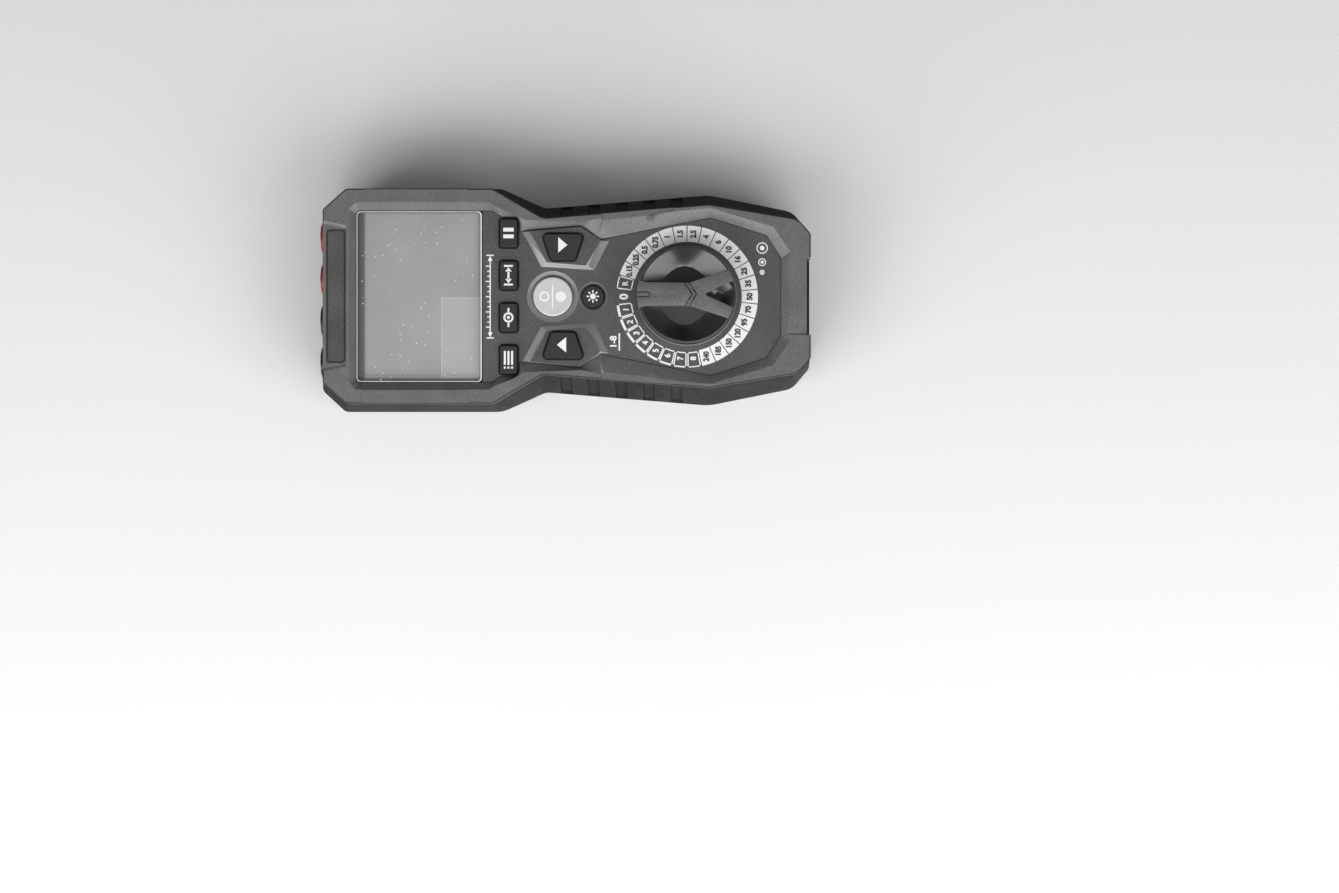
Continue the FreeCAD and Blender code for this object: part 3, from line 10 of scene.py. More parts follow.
import bpy
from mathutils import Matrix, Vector


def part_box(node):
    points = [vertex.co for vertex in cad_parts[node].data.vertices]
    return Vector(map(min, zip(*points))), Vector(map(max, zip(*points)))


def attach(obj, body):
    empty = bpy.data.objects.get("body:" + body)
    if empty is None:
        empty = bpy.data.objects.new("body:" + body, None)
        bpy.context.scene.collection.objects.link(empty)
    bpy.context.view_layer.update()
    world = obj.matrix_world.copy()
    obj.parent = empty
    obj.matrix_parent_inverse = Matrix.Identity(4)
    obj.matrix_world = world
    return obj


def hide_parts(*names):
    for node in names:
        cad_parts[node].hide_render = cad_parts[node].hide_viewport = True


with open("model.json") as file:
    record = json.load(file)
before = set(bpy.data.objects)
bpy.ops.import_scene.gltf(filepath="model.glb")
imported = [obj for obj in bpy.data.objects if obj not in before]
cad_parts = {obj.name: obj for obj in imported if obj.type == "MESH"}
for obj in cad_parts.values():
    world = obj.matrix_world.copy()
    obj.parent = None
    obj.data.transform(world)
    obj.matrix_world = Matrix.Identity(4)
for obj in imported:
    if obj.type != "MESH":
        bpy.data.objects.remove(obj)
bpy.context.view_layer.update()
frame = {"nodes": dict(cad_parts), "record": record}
nodes = frame["nodes"]
mm = 0.001
print(len(nodes), "parts come from the drawing")

# %% [markdown]
# ## The camera
# It looks straight down at the counter from 87 centimetres above the table, with the counter's
# right side at the top of the picture. The shift slides the picture on its sensor, so that the
# counter sits left of the middle and high, without tilting the view.

# %% The camera
bpy.ops.object.select_all(action="DESELECT")
bpy.ops.object.camera_add(location=(-78 * mm, -51 * mm, 870 * mm),
                          rotation=(0, 0, -math.pi / 2))
camera = bpy.context.object
camera.data.lens = 55.4
camera.data.sensor_width = 36
camera.data.shift_x = -0.0153
camera.data.shift_y = 0.0325
camera.data.clip_start = 0.01
bpy.context.scene.camera = camera

# %% [markdown]
# ## Shader maths in plain expressions
# A material is a graph of nodes. Two small classes keep it readable: `Value` wraps one output
# and adds a Math node for each operator, and `Finish` holds one material with its shader.
# `finishes` keeps every material under its name. `CLOUD` and `MOTTLE` are the sizes of the two
# noises that make a moulded surface a little uneven.


# %% Shader maths in plain expressions
CLOUD, MOTTLE = 14 * mm, 0.75 * mm
finishes = {}


class Value:
    """One number or colour that a material works out, with the usual operators."""

    def __init__(self, finish, socket):
        self.finish = finish
        self.socket = socket

    def maths(self, operation, *others):
        """Add a Math node that works on this value and perhaps another."""
        inputs = dict(enumerate([self, *others]))
        return self.finish.node("ShaderNodeMath", {"operation": operation}, inputs)

    def __add__(self, other):
        return self.maths("ADD", other)

    def __mul__(self, other):
        return self.maths("MULTIPLY", other)

    def __sub__(self, other):
        return self.maths("SUBTRACT", other)

    def __gt__(self, other):
        return self.maths("GREATER_THAN", other)

    def __lt__(self, other):
        return self.maths("LESS_THAN", other)

    def __abs__(self):
        return self.maths("ABSOLUTE")


class Finish:
    """One material: its nodes, its colour and how it shines."""

    def __init__(self, name):
        self.material = finishes[name] = bpy.data.materials.new(name)
        self.material.use_nodes = True
        self.tree = self.material.node_tree
        self.shader = self.tree.nodes["Principled BSDF"]

    def node(self, kind, settings, inputs, output=0):
        """Add one node, set it up, feed its inputs and hand back one of its outputs."""
        node = self.tree.nodes.new(kind)
        for name, setting in settings.items():
            setattr(node, name, setting)
        for name, value in inputs.items():
            self.feed(node.inputs[name], value)
        return Value(self, node.outputs[output])

    def feed(self, socket, value):
        """Link a socket to a value, or set it to a plain number or colour."""
        if isinstance(value, Value):
            self.tree.links.new(value.socket, socket)
        else:
            socket.default_value = value

    def set(self, **sockets):
        """Feed the shader's own sockets, named in lower case."""
        for name, value in sockets.items():
            self.feed(self.shader.inputs[name.replace("_", " ").title()], value)

    def place(self):
        """Where a point lies on the counter, in metres."""
        return self.node("ShaderNodeTexCoord", {}, {}, "Object")

    def axes(self):
        """The same place as three separate numbers."""
        split = self.tree.nodes.new("ShaderNodeSeparateXYZ")
        self.feed(split.inputs[0], self.place())
        return [Value(self, output) for output in split.outputs]

    def facing(self):
        """Which way the surface faces, as three numbers."""
        split = self.tree.nodes.new("ShaderNodeSeparateXYZ")
        self.feed(split.inputs[0], self.node("ShaderNodeNewGeometry", {}, {}, "Normal"))
        return [Value(self, output) for output in split.outputs]

    def noise(self, size, detail=2.0, roughness=0.5):
        """Cloudy noise between 0 and 1 whose blotches are about `size` metres wide."""
        inputs = {"Vector": self.place(), "Scale": 1 / size, "Detail": detail,
                  "Roughness": roughness}
        return self.node("ShaderNodeTexNoise", {}, inputs, "Fac")

    def specks(self, size):
        """Distance to the nearest of many scattered points, in units of their spacing."""
        inputs = {"Vector": self.place(), "Scale": 1 / size}
        return self.node("ShaderNodeTexVoronoi", {}, inputs, "Distance")

    def mix(self, amount, first, second):
        """Blend two colours."""
        colors = [value if isinstance(value, Value) else (*value, 1) for value in (first, second)]
        inputs = {0: amount, 6: colors[0], 7: colors[1]}
        return self.node("ShaderNodeMix", {"data_type": "RGBA"}, inputs, 2)

    def step(self, value, low, high):
        """0 below `low`, 1 above `high`, and an even climb between."""
        inputs = {"Value": value, "From Min": low, "From Max": high}
        return self.node("ShaderNodeMapRange", {"clamp": True}, inputs)

    def mottle(self, cloud):
        """Fine unevenness, around 0.5, that drifts a little with a cloud."""
        return cloud * 0.4 + self.noise(MOTTLE, 1.0) * 0.6

    def uneven(self, mottle, low, high):
        """A colour that the mottle spreads between two others."""
        return self.mix(self.step(mottle, 0.36, 0.64), low, high)

    def bump(self, height, depth):
        """Raise the surface by up to `depth` metres where `height` is 1."""
        inputs = {"Height": height, "Distance": depth, "Strength": 1.0}
        return self.node("ShaderNodeBump", {}, inputs, "Normal")


def grey(level):
    """A colour without tint."""
    return (level, level, level)


print("shader maths is ready")

# %% [markdown]
# ## Moulded plastics and rubber
# The frame, the panel and the rear shell are spark-textured plastic: a fine even grain that
# scatters light. The grain is a bump of small noise. A wide soft noise makes the roughness and
# the colour vary a little, as on a handled tool, and a few pale specks are dust in the grain.


# %% Moulded plastics and rubber
def moulded(name, color, roughness, grain=0.35 * mm, depth=0.012 * mm, wear=0.2, dust=0.02,
            tint=(1, 1, 1), bend=1.5):
    """Textured plastic or rubber in one colour; powdery rubber bends light less, so it is dull."""
    finish = Finish(name)
    cloud = finish.noise(CLOUD, 3.0)
    fine = finish.noise(grain, 2.0, 0.6)
    low = tuple(color * (1 - wear) * part for part in tint)
    high = tuple(color * (1 + wear) * part for part in tint)
    shade = finish.uneven(finish.mottle(cloud), low, high)
    specks = finish.step(finish.specks(1.9 * mm), 0.09, 0.05) * (cloud > 0.52)
    shade = finish.mix(specks * 0.5, shade, grey(color + dust))
    finish.set(base_color=shade, roughness=finish.step(cloud, 0, 1) * 0.12 + (roughness - 0.06),
               normal=finish.bump(fine, depth))
    finish.shader.inputs["IOR"].default_value = bend


moulded("case_plastic", 0.05, 0.45, grain=0.5 * mm, depth=0.02 * mm)
moulded("grip_rubber", 0.034, 0.66, grain=0.45 * mm, depth=0.02 * mm, wear=0.3, dust=0.06,
        bend=1.07)
moulded("seal_rubber", 0.02, 0.7, grain=0.4 * mm)
moulded("light_key", 0.6, 0.42, grain=0.4 * mm, depth=0.004 * mm, wear=0.05)
moulded("mat_silicone", 0.25, 0.6)
moulded("knob_matte", 0.125, 0.4, grain=0.25 * mm, depth=0.006 * mm, dust=0.05)
moulded("plate_plastic", 0.085, 0.35, grain=0.6 * mm, depth=0.004 * mm)
moulded("white_plastic", 0.7, 0.5)
moulded("jack_red", 0.4, 0.35, tint=(1, 0.04, 0.03))
moulded("jack_black", 0.02, 0.35)
print("plastics and rubber are ready")

# %% [markdown]
# ## The black keys
# The keys are black rubber with a satin lacquer on their tops, which makes the tops smoother. Their
# edges and sides are painted near-black as painted shade, so the tops look a little paler.

# %% The black keys
key_finish = Finish("key_black")
on_top = key_finish.step(key_finish.facing()[2], 0.96, 0.995)
top_tone = key_finish.noise(0.6 * mm, 2.0)
top_tone = key_finish.mix(key_finish.step(top_tone, 0.3, 0.7), grey(0.026), grey(0.042))
# Painted shade: edges and sides are painted near-black, while the tops keep their paler tone.
key_finish.set(base_color=key_finish.mix(on_top, grey(0.004), top_tone),
               roughness=on_top * -0.2 + 0.6,
               normal=key_finish.bump(key_finish.noise(0.3 * mm), 0.006 * mm))
print("the keys' finish is ready")

# %% [markdown]
# ## The frame's plastic
# The frame is grey on its crest and on its inner slopes. Its outer slopes, which run on into the
# rubber, are coated as dark as the rubber. A surface is an outer slope when it faces away from the
# long middle line, or away from the middle at either end.

# %% The frame's plastic
FACE_END = 88 * mm
frame_finish = Finish("frame_plastic")
across, along, _ = frame_finish.axes()
faces_across, faces_along, _ = frame_finish.facing()
outward = faces_across * across.maths("SIGN")
endward = faces_along * along.maths("SIGN") * (abs(along) > FACE_END)
on_outside = frame_finish.step(outward.maths("MAXIMUM", endward), 0.3, 0.5)
mottle = frame_finish.mottle(frame_finish.noise(CLOUD, 3.0))
shade = frame_finish.uneven(mottle, grey(0.12), grey(0.17))
fine = frame_finish.noise(0.35 * mm, 2.0, 0.6)
frame_finish.set(base_color=frame_finish.mix(on_outside, shade, grey(0.02)),
                 roughness=on_outside * 0.3 + (mottle * 0.12 + 0.28),
                 normal=frame_finish.bump(fine, 0.012 * mm))
print("the frame's plastic is ready")

# %% [markdown]
# ## The face panel's plastic
# The panel is one sheet of finely textured plastic with a faint warm tint. The hollow cones around
# the two round keys are painted paler than the sheet, a painted highlight. How far a point lies
# from a cone's middle tells whether it is on the cone. The slopes around the arrow keys are
# polished smooth by the mould and painted paler as a painted highlight; they are found by how far
# the surface tips away from upright.

# %% The face panel's plastic
SELECT, LIGHT = 4.35, -11.9
CONES = {SELECT: 10.35, LIGHT: 5.85}
panel_finish = Finish("panel_plastic")
across, along, _ = panel_finish.axes()
# Painted highlight: the cones are painted paler than the sheet.
cone_highlight = 0
for cone_y, cone_radius in CONES.items():
    off = along - cone_y * mm
    near = (across * across + off * off).maths("SQRT") < cone_radius * mm
    cone_highlight = near + cone_highlight
# Painted highlight: slopes are painted paler than the sheet; they are also smoother.
on_slope = panel_finish.step(panel_finish.facing()[2], 0.97, 0.93)
cloud = panel_finish.noise(16 * mm, 3.0)
sheet = panel_finish.uneven(panel_finish.mottle(cloud),
                            (0.074, 0.07, 0.071), (0.112, 0.108, 0.109))
fine = panel_finish.noise(0.25 * mm, 2.0, 0.6)
sheet = panel_finish.mix(on_slope, sheet, grey(0.3))
panel_finish.set(base_color=panel_finish.mix(cone_highlight, sheet, grey(0.22)),
                 roughness=on_slope * -0.2 + (cloud * 0.08 + 0.38),
                 normal=panel_finish.bump(fine, 0.006 * mm))
print("the panel's plastic is ready")

# %% [markdown]
# ## Gloss black, metals, glass and print
# The knob's dish is polished near-black plastic. Metals are fully metallic with faint brushing.
# The window is clear with a little dust; the display under it is a flat grey with a lighter patch
# where a piece of protective film still lies on it, painted lighter as a painted reflection that is
# brightest along the film's edge, and painted shade darkens it under the frame at the display end.
# The pane's cut edge is painted bright as a painted highlight, and printed signs are a little worn.


# %% Gloss black, metals, glass and print
def metal(name, color, roughness):
    """Bare metal with faint brushing."""
    finish = Finish(name)
    brushed = finish.noise(0.8 * mm, 4.0, 0.7)
    low = tuple(part * 0.85 for part in color)
    finish.set(base_color=finish.mix(brushed, low, color), metallic=1.0,
               roughness=brushed * 0.2 + (roughness - 0.1))


knob_finish = Finish("knob_gloss")
smear = knob_finish.noise(6 * mm, 3.0)
knob_finish.set(base_color=knob_finish.mix(smear, grey(0.012), grey(0.02)),
                roughness=smear * 0.08 + 0.26, coat_weight=0.7, coat_roughness=0.2)

metal("spring_metal", (0.6, 0.6, 0.58), 0.35)
metal("steel", (0.5, 0.5, 0.5), 0.38)
metal("contact_brass", (0.75, 0.55, 0.25), 0.3)
metal("cell_metal", (0.55, 0.56, 0.6), 0.35)
moulded("board_green", 0.1, 0.4, grain=2 * mm, tint=(0.2, 1, 0.4))
moulded("chip_black", 0.015, 0.45)

glass_finish = Finish("window_clear")
on_dust = glass_finish.step(glass_finish.specks(2.6 * mm), 0.13, 0.07)
on_dust = on_dust * (glass_finish.noise(18 * mm) > 0.52)
glass_finish.set(base_color=glass_finish.mix(on_dust, grey(0.5), grey(0.95)),
                 roughness=on_dust * 0.5 + 0.08, alpha=on_dust * 0.85 + 0.08)

FILM = {"left": -35.0, "right": -0.2, "low": 34.0, "high": 49.5, "edge": 0.4}
SHADED_FROM, SHADED_TO = 79.8, 81.0
lcd_finish = Finish("lcd_grey")
across, along, _ = lcd_finish.axes()


def inside(shrink):
    """1 within the film's outline, taken in by a distance."""
    return ((across > (FILM["left"] + shrink) * mm) * (across < (FILM["right"] - shrink) * mm)
            * (along > (FILM["low"] + shrink) * mm) * (along < (FILM["high"] - shrink) * mm))


film, film_middle = inside(0), inside(FILM["edge"])
cloud = lcd_finish.noise(30 * mm, 2.0)
ground = lcd_finish.mix(lcd_finish.step(cloud, 0.3, 0.7),
                        (0.33, 0.335, 0.33), (0.41, 0.415, 0.41))
# Painted reflection: the film patch is painted lighter than the display, brightest along its edge.
film_with_reflection = lcd_finish.mix(film_middle, grey(0.6), grey(0.47))
ground = lcd_finish.mix(film, ground, film_with_reflection)
# Painted shade: the display darkens towards the display end, where the frame's inner wall shades
# it.
shaded = lcd_finish.step(along, SHADED_FROM * mm, SHADED_TO * mm)
lcd_finish.set(base_color=lcd_finish.mix(shaded * 0.92, ground, grey(0.04)), roughness=0.35)

edge_finish = Finish("pane_edge")
# Painted highlight: the cut edge is painted bright, varying in strength along it.
edge_glint = edge_finish.noise(1.2 * mm, 4.0, 0.7)
edge_finish.set(base_color=edge_finish.mix(edge_glint, grey(0.6), grey(0.95)), roughness=0.25)
moulded("glue_line", 0.06, 0.4)


def printed(name, low, high):
    """Screen-printed paint, a little uneven."""
    finish = Finish(name)
    worn = finish.noise(1.5 * mm, 3.0)
    finish.set(base_color=finish.mix(worn, grey(low), grey(high)),
               roughness=worn * 0.15 + 0.42)


printed("print_white", 0.84, 0.92)
printed("print_dark", 0.03, 0.055)
print("gloss, metals, glass and print are ready")

# %% [markdown]
# ## Dress the parts from the drawing
# The record names a finish for each part, and each part gets the material of that name.
# Moulded edges are never knife-sharp, so the parts that show get live Weld and Bevel modifiers: the
# first joins the loose triangles, and the second rounds only the edges between steep faces.

# %% Dress the parts from the drawing
for entry in frame["record"]["subparts"]:
    part = nodes[entry["node"]]
    part.data.materials.clear()
    part.data.materials.append(finishes[entry["material_slot"]])

ROUNDED = {
    "front_housing": 0.25, "front_grip": 0.3, "rear_housing": 0.3, "rear_grip": 0.4,
    "face_panel": 0.12, "label_plate": 0.1, "tilt_stand": 0.3, "battery_door": 0.25,
    "memory_key": 0.4, "zero_key": 0.4, "units_key": 0.4, "hold_key": 0.4, "up_key": 0.4,
    "down_key": 0.4,
}
WELD_REACH, STEEP = 0.004 * mm, math.radians(22)
for name, width in ROUNDED.items():
    weld = nodes[name].modifiers.new("weld", "WELD")
    weld.merge_threshold = WELD_REACH
    bevel = nodes[name].modifiers.new("bevel", "BEVEL")
    bevel.width = width * mm
    bevel.segments = 2
    bevel.limit_method = "ANGLE"
    bevel.angle_limit = STEEP
print(len(nodes), "parts are dressed,", len(ROUNDED), "with rounded edges")

# %% [markdown]
# ## Helpers for modelling
# A flat shape starts as a filled circle with as many corners as the outline, whose corners are
# then moved to their places and extruded. A finished piece has its place applied to its mesh.
# The helpers take millimetres and degrees; angles run clockwise from the display end.


# %% Helpers for modelling
PRINT = 0.06
CORNER_STEPS = 5


def start_fresh():
    """Select nothing, so that an operator touches only what it makes."""
    bpy.ops.object.select_all(action="DESELECT")


def settle(name, finish, body):
    """Name the active piece, apply its place, give it its finish and let it ride on a body."""
    piece = bpy.context.object
    bpy.ops.object.transform_apply(location=True, rotation=True, scale=True)
    piece.name = piece.data.name = name
    piece.data.materials.clear()
    piece.data.materials.append(finishes[finish])
    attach(piece, body)
    return piece


def in_edit(work):
    """Select all of the active piece in edit mode, do some work on it and come back."""
    bpy.ops.object.mode_set(mode="EDIT")
    bpy.ops.mesh.select_all(action="SELECT")
    work()
    bpy.ops.object.mode_set(mode="OBJECT")


def slab(corners, low, high):
    """A closed flat piece with the given outline between two levels."""
    start_fresh()
    bpy.ops.mesh.primitive_circle_add(vertices=len(corners), radius=1, fill_type="NGON")
    piece = bpy.context.object
    for vertex, (x, y) in zip(piece.data.vertices, corners):
        vertex.co = (x * mm, y * mm, low * mm)

    def thicken():
        move = (0, 0, (high - low) * mm)
        bpy.ops.mesh.extrude_region_move(TRANSFORM_OT_translate={"value": move})
        bpy.ops.mesh.select_all(action="SELECT")
        bpy.ops.mesh.normals_make_consistent(inside=False)

    in_edit(thicken)
    return piece


def join(pieces):
    """Make several pieces one; the first one gives its name."""
    start_fresh()
    for piece in pieces:
        piece.select_set(True)
    bpy.context.view_layer.objects.active = pieces[0]
    bpy.ops.object.join()
    return pieces[0]


def settle_print(name, pieces, body="housing"):
    """Make one white printed sign of several pieces, on the housing or on a key."""
    join(pieces)
    settle(name, "print_white", body)


def apply(kind, **settings):
    """Add a modifier to the active piece and apply it."""
    piece = bpy.context.object
    modifier = piece.modifiers.new(kind.lower(), kind)
    for name, setting in settings.items():
        setattr(modifier, name, setting)
    bpy.ops.object.modifier_apply(modifier=modifier.name)


def combine(body, other, operation):
    """Cut one piece out of another, or add it to it."""
    start_fresh()
    body.select_set(True)
    bpy.context.view_layer.objects.active = body
    apply("BOOLEAN", operation=operation, object=other, solver="EXACT")
    bpy.data.objects.remove(other)


def flat_ring(outer, inner, low, high):
    """A slab with a smaller outline cut right through it."""
    ring = slab(outer, low, high)
    combine(ring, slab(inner, low - 1, high + 1), "DIFFERENCE")
    return ring


def round_edges(width, angle=40):
    """Round the edges of the active piece between faces that meet at more than an angle."""
    apply("BEVEL", width=width * mm, segments=2, limit_method="ANGLE",
          angle_limit=math.radians(angle))


def words(text, x, y, level, height, thick, narrow):
    """Flat lettering as a thin raised mesh, centred on a point."""
    start_fresh()
    bpy.ops.object.text_add(location=(x * mm, y * mm, level * mm))
    piece = bpy.context.object
    piece.data.body = text
    piece.data.size = height / 0.7 * mm
    piece.data.resolution_u = 4
    piece.data.align_x, piece.data.align_y = "CENTER", "CENTER"
    piece.data.offset = thick * mm
    piece.data.extrude = PRINT / 2 * mm
    piece.scale = (narrow, 1, 1)
    bpy.ops.object.convert(target="MESH")
    piece = bpy.context.object
    bpy.ops.object.transform_apply(location=True, rotation=True, scale=True)
    return piece


def around(middle, radius, angle):
    """The point at a radius and an angle from a middle."""
    turn = math.radians(angle)
    return middle[0] + radius * math.sin(turn), middle[1] + radius * math.cos(turn)


def arc(radius, start, end, count, middle):
    """Points along an arc from one angle to another."""
    return [around(middle, radius, start + (end - start) * i / count) for i in range(count + 1)]


def box_outline(left, right, low, high, radius=0.0):
    """An upright rectangle with rounded corners."""
    if not radius:
        return [(left, low), (right, low), (right, high), (left, high)]
    corners = [(right - radius, high - radius, 90), (left + radius, high - radius, 0),
               (left + radius, low + radius, -90), (right - radius, low + radius, -180)]
    return [point for x, y, start in corners
            for point in arc(radius, start, start - 90, CORNER_STEPS, (x, y))]


def rounded(corners, radius, grow):
    """A convex outline with rounded corners, grown outwards; its corners run anticlockwise."""
    points = []
    for i, corner in enumerate(corners):
        here, after = Vector(corner), Vector(corners[(i + 1) % len(corners)])
        arriving, leaving = here - Vector(corners[i - 1]), after - here
        first, last = (Vector((way.y, -way.x)).normalized() for way in (arriving, leaving))
        halfway = (first + last).normalized()
        middle = here - halfway * (radius / halfway.dot(first))
        for step in range(CORNER_STEPS + 1):
            outward = first.lerp(last, step / CORNER_STEPS).normalized()
            points.append(middle + outward * (radius + grow))
    return points


print("helpers are ready")

# %% [markdown]
# ## The display window
# The window is a clear pane whose cut edge is painted bright all round, a painted highlight that is
# widest at the keys. Four nested rings frame it: a dark gasket outside, the cut edge with its
# painted highlight, a thin dark line of glue inside it, and under the pane a grey band that hides
# the ledge.

# %% The display window
low_corner, high_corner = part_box("display_window")
PANE = {"half": high_corner.x / mm + 0.25,
        "low": low_corner.y / mm - 0.1, "high": high_corner.y / mm + 0.25}
PANE_TOP = high_corner.z / mm + 0.05
PANE_LOW = low_corner.z / mm
RING_LOW = PANE_LOW + 0.1
PANE_CORNER, CORNER_LOSS, LEAST_CORNER = 1.7, 0.6, 0.4
GASKET, CUT_EDGE, GLUE, BAND = 0.3, 0.62, 0.85, 3.0
KEY_SIDE = {GASKET: 0.2, CUT_EDGE: 0.75, GLUE: 0.95}


def pane_outline(shrink, radius):
    """The pane's rounded outline, taken in by a distance that differs at the keys."""
    low, high = PANE["low"] + KEY_SIDE.get(shrink, shrink), PANE["high"] - shrink
    return box_outline(-PANE["half"] + shrink, PANE["half"] - shrink, low, high, radius)


def pane_ring(outer, inner, low, high):
    """A flat ring between two of the pane's outlines; a corner gets sharper further in."""
    outlines = [pane_outline(shrink, max(PANE_CORNER - CORNER_LOSS * shrink, LEAST_CORNER))
                for shrink in (outer, inner)]
    flat_ring(*outlines, low, high)


pane_ring(0, GASKET, RING_LOW, PANE_TOP - 0.15)
settle("window_gasket", "seal_rubber", "housing")
# The cut edge ring, painted bright as a painted highlight.
pane_ring(GASKET, CUT_EDGE, RING_LOW, PANE_TOP)
round_edges(0.08)
settle("window_edge", "pane_edge", "housing")
pane_ring(CUT_EDGE, GLUE, RING_LOW, PANE_TOP - 0.12)
settle("window_glue", "glue_line", "housing")
slab(pane_outline(GLUE, 1.0), RING_LOW, PANE_TOP - 0.08)
round_edges(0.06)
window = settle("window_pane", "window_clear", "housing")
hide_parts("display_window")
pane_ring(0.1, BAND, PANE_LOW + 0.01, PANE_LOW + 0.08)
settle("window_band", "lcd_grey", "housing")

# %% [markdown]
# ## The bare label plate
# A dark line runs round the plate, close to its edge. Nothing is written on the plate.

# %% The bare label plate
low_corner, high_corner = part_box("label_plate")
LINE_INSET, PLATE_LINE, PLATE_RADIUS, PLATE_RISE = 0.25, 0.5, 1.6, 0.05
plate_ends = [value / mm for value in (low_corner.x, high_corner.x, low_corner.y,
                                       high_corner.y)]
PLATE_FACE = high_corner.z / mm


def plate_outline(shrink, radius):
    """The plate's rounded outline, taken in by a distance."""
    left, right, low, high = plate_ends
    return box_outline(left + shrink, right - shrink, low + shrink, high - shrink, radius)


flat_ring(plate_outline(LINE_INSET, PLATE_RADIUS),
          plate_outline(LINE_INSET + PLATE_LINE, PLATE_RADIUS - PLATE_LINE),
          PLATE_FACE - 0.02, PLATE_FACE + PLATE_RISE)
settle("label_line", "seal_rubber", "housing")
print("the window and the plate are in")

# %% [markdown]
# ## The dial's printed ring
# Thirty places lie 12 degrees apart around the switch, read clockwise from nought at the display
# end. The wire sizes stand in filled boxes, and the resistance place and the eight spare places in
# outlined ones. The spare places count down from 8 to 1, and from the third on they stand closer
# together. A broad white line runs along their outside, which is thinnest at the 8.

# %% The dial's printed ring
DIAL = (0.0, -49.8)
SHEET = 1.4
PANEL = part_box("face_panel")[0].z / mm + SHEET
RING_IN, RING_OUT = 22.1, 28.6
OUTLINED_IN = RING_IN + 0.3
LINE, LINE_RADIUS = 0.46, 25
STEP, GAP, NARROW_GAP = 12, 0.85, 0.3
gauges = ["0.15", "0.25", "0.5", "0.75", "1", "1.5", "2.5", "4", "6", "10", "16", "25", "35",
          "50", "70", "95", "120", "150", "185", "240"]
OUTER_LINES = [0.45, 0.55, 0.7, 0.85, 0.95, 1.0, 1.0, 1.0]
FIRST_SPARE, FIRST_CLOSE = 22, 24
OUTER_ARC = 0.75


def sector(inner, outer, middle, half, count=6):
    """Outline of one box of the ring."""
    return (arc(inner, middle + half, middle - half, count, DIAL)
            + arc(outer, middle - half, middle + half, count, DIAL))


def outlined_box(middle, half, outer_line):
    """An outlined box: four thin strips around a sector."""
    turn = math.degrees(LINE / LINE_RADIUS) / 2
    strips = [sector(OUTLINED_IN, OUTLINED_IN + LINE, middle, half),
              sector(RING_OUT - outer_line, RING_OUT, middle, half),
              sector(OUTLINED_IN, RING_OUT, middle - half + turn, turn),
              sector(OUTLINED_IN, RING_OUT, middle + half - turn, turn)]
    return [slab(strip, PANEL, PANEL + PRINT) for strip in strips]


half_box = STEP / 2 - GAP / 2
filled, outlined = [], outlined_box(STEP, half_box, LINE)
for place in range(2, FIRST_SPARE):
    filled.append(slab(sector(RING_IN, RING_OUT, place * STEP, half_box), PANEL, PANEL + PRINT))
for place, outer_line in enumerate(OUTER_LINES, start=FIRST_SPARE):
    half = half_box if place < FIRST_CLOSE else (STEP - NARROW_GAP) / 2
    outlined += outlined_box(place * STEP, half, outer_line)
arc_middle, arc_half = (FIRST_CLOSE + 2.5) * STEP, 3 * STEP - NARROW_GAP
outer_arc = sector(RING_OUT - OUTER_ARC, RING_OUT, arc_middle, arc_half, 36)
outlined.append(slab(outer_arc, PANEL, PANEL + PRINT * 0.9))
settle_print("dial_boxes", filled)
settle_print("dial_outlines", outlined)

dark, pale = [], []
middle_radius = (RING_IN + RING_OUT) / 2
for place, gauge in enumerate(gauges, start=2):
    narrow = 0.95 if len(gauge) < 3 else 0.86
    x, y = around(DIAL, middle_radius, place * STEP)
    dark.append(words(gauge, x, y, PANEL + PRINT, 2.15, thick=0.17, narrow=narrow))
for place, number in enumerate("87654321", start=FIRST_SPARE):
    x, y = around(DIAL, middle_radius - 0.3, place * STEP)
    pale.append(words(number, x, y, PANEL + PRINT / 2, 2.2, thick=0.13, narrow=0.95))
x, y = around(DIAL, middle_radius, STEP)
pale.append(words("R", x, y, PANEL + PRINT / 2, 2.2, thick=0.11, narrow=0.95))
x, y = around(DIAL, middle_radius, 0)
pale.append(words("0", x, y, PANEL + PRINT / 2, 3.2, thick=0.18, narrow=1.0))
join(dark)
settle("dial_numbers", "print_dark", "housing")
settle_print("dial_spare_numbers", pale)
print("the dial has", len(gauges) + 10, "places")

# %% [markdown]
# ## Printed marks on the panel
# A measuring scale with arrowheads lies between the window and the keys. Three wire ends of growing
# size stand beside the wire sizes, and the spare places are marked with their first and last
# number.

# %% Printed marks on the panel
QUARTER = 7


def disc(x, y, radius, low):
    """A printed disc."""
    return slab(arc(radius, 360, 0, 4 * QUARTER, (x, y))[:-1], low, low + PRINT)


def ring_sign(x, y, radius, line, low):
    """A thin printed ring, as four quarter strips."""
    pieces = []
    for start in (0, 90, 180, 270):
        outline = arc(radius - line, start + 90, start, QUARTER, (x, y))
        outline += arc(radius, start, start + 90, QUARTER, (x, y))
        pieces.append(slab(outline, low, low + PRINT))
    return pieces


def bar(x, y, width, height, low):
    """A printed bar, centred on a point."""
    outline = box_outline(x - width / 2, x + width / 2, y - height / 2, y + height / 2)
    return slab(outline, low, low + PRINT)


def triangle(tip, base_left, base_right, low):
    """A printed triangle."""
    return slab([tip, base_left, base_right], low, low + PRINT)


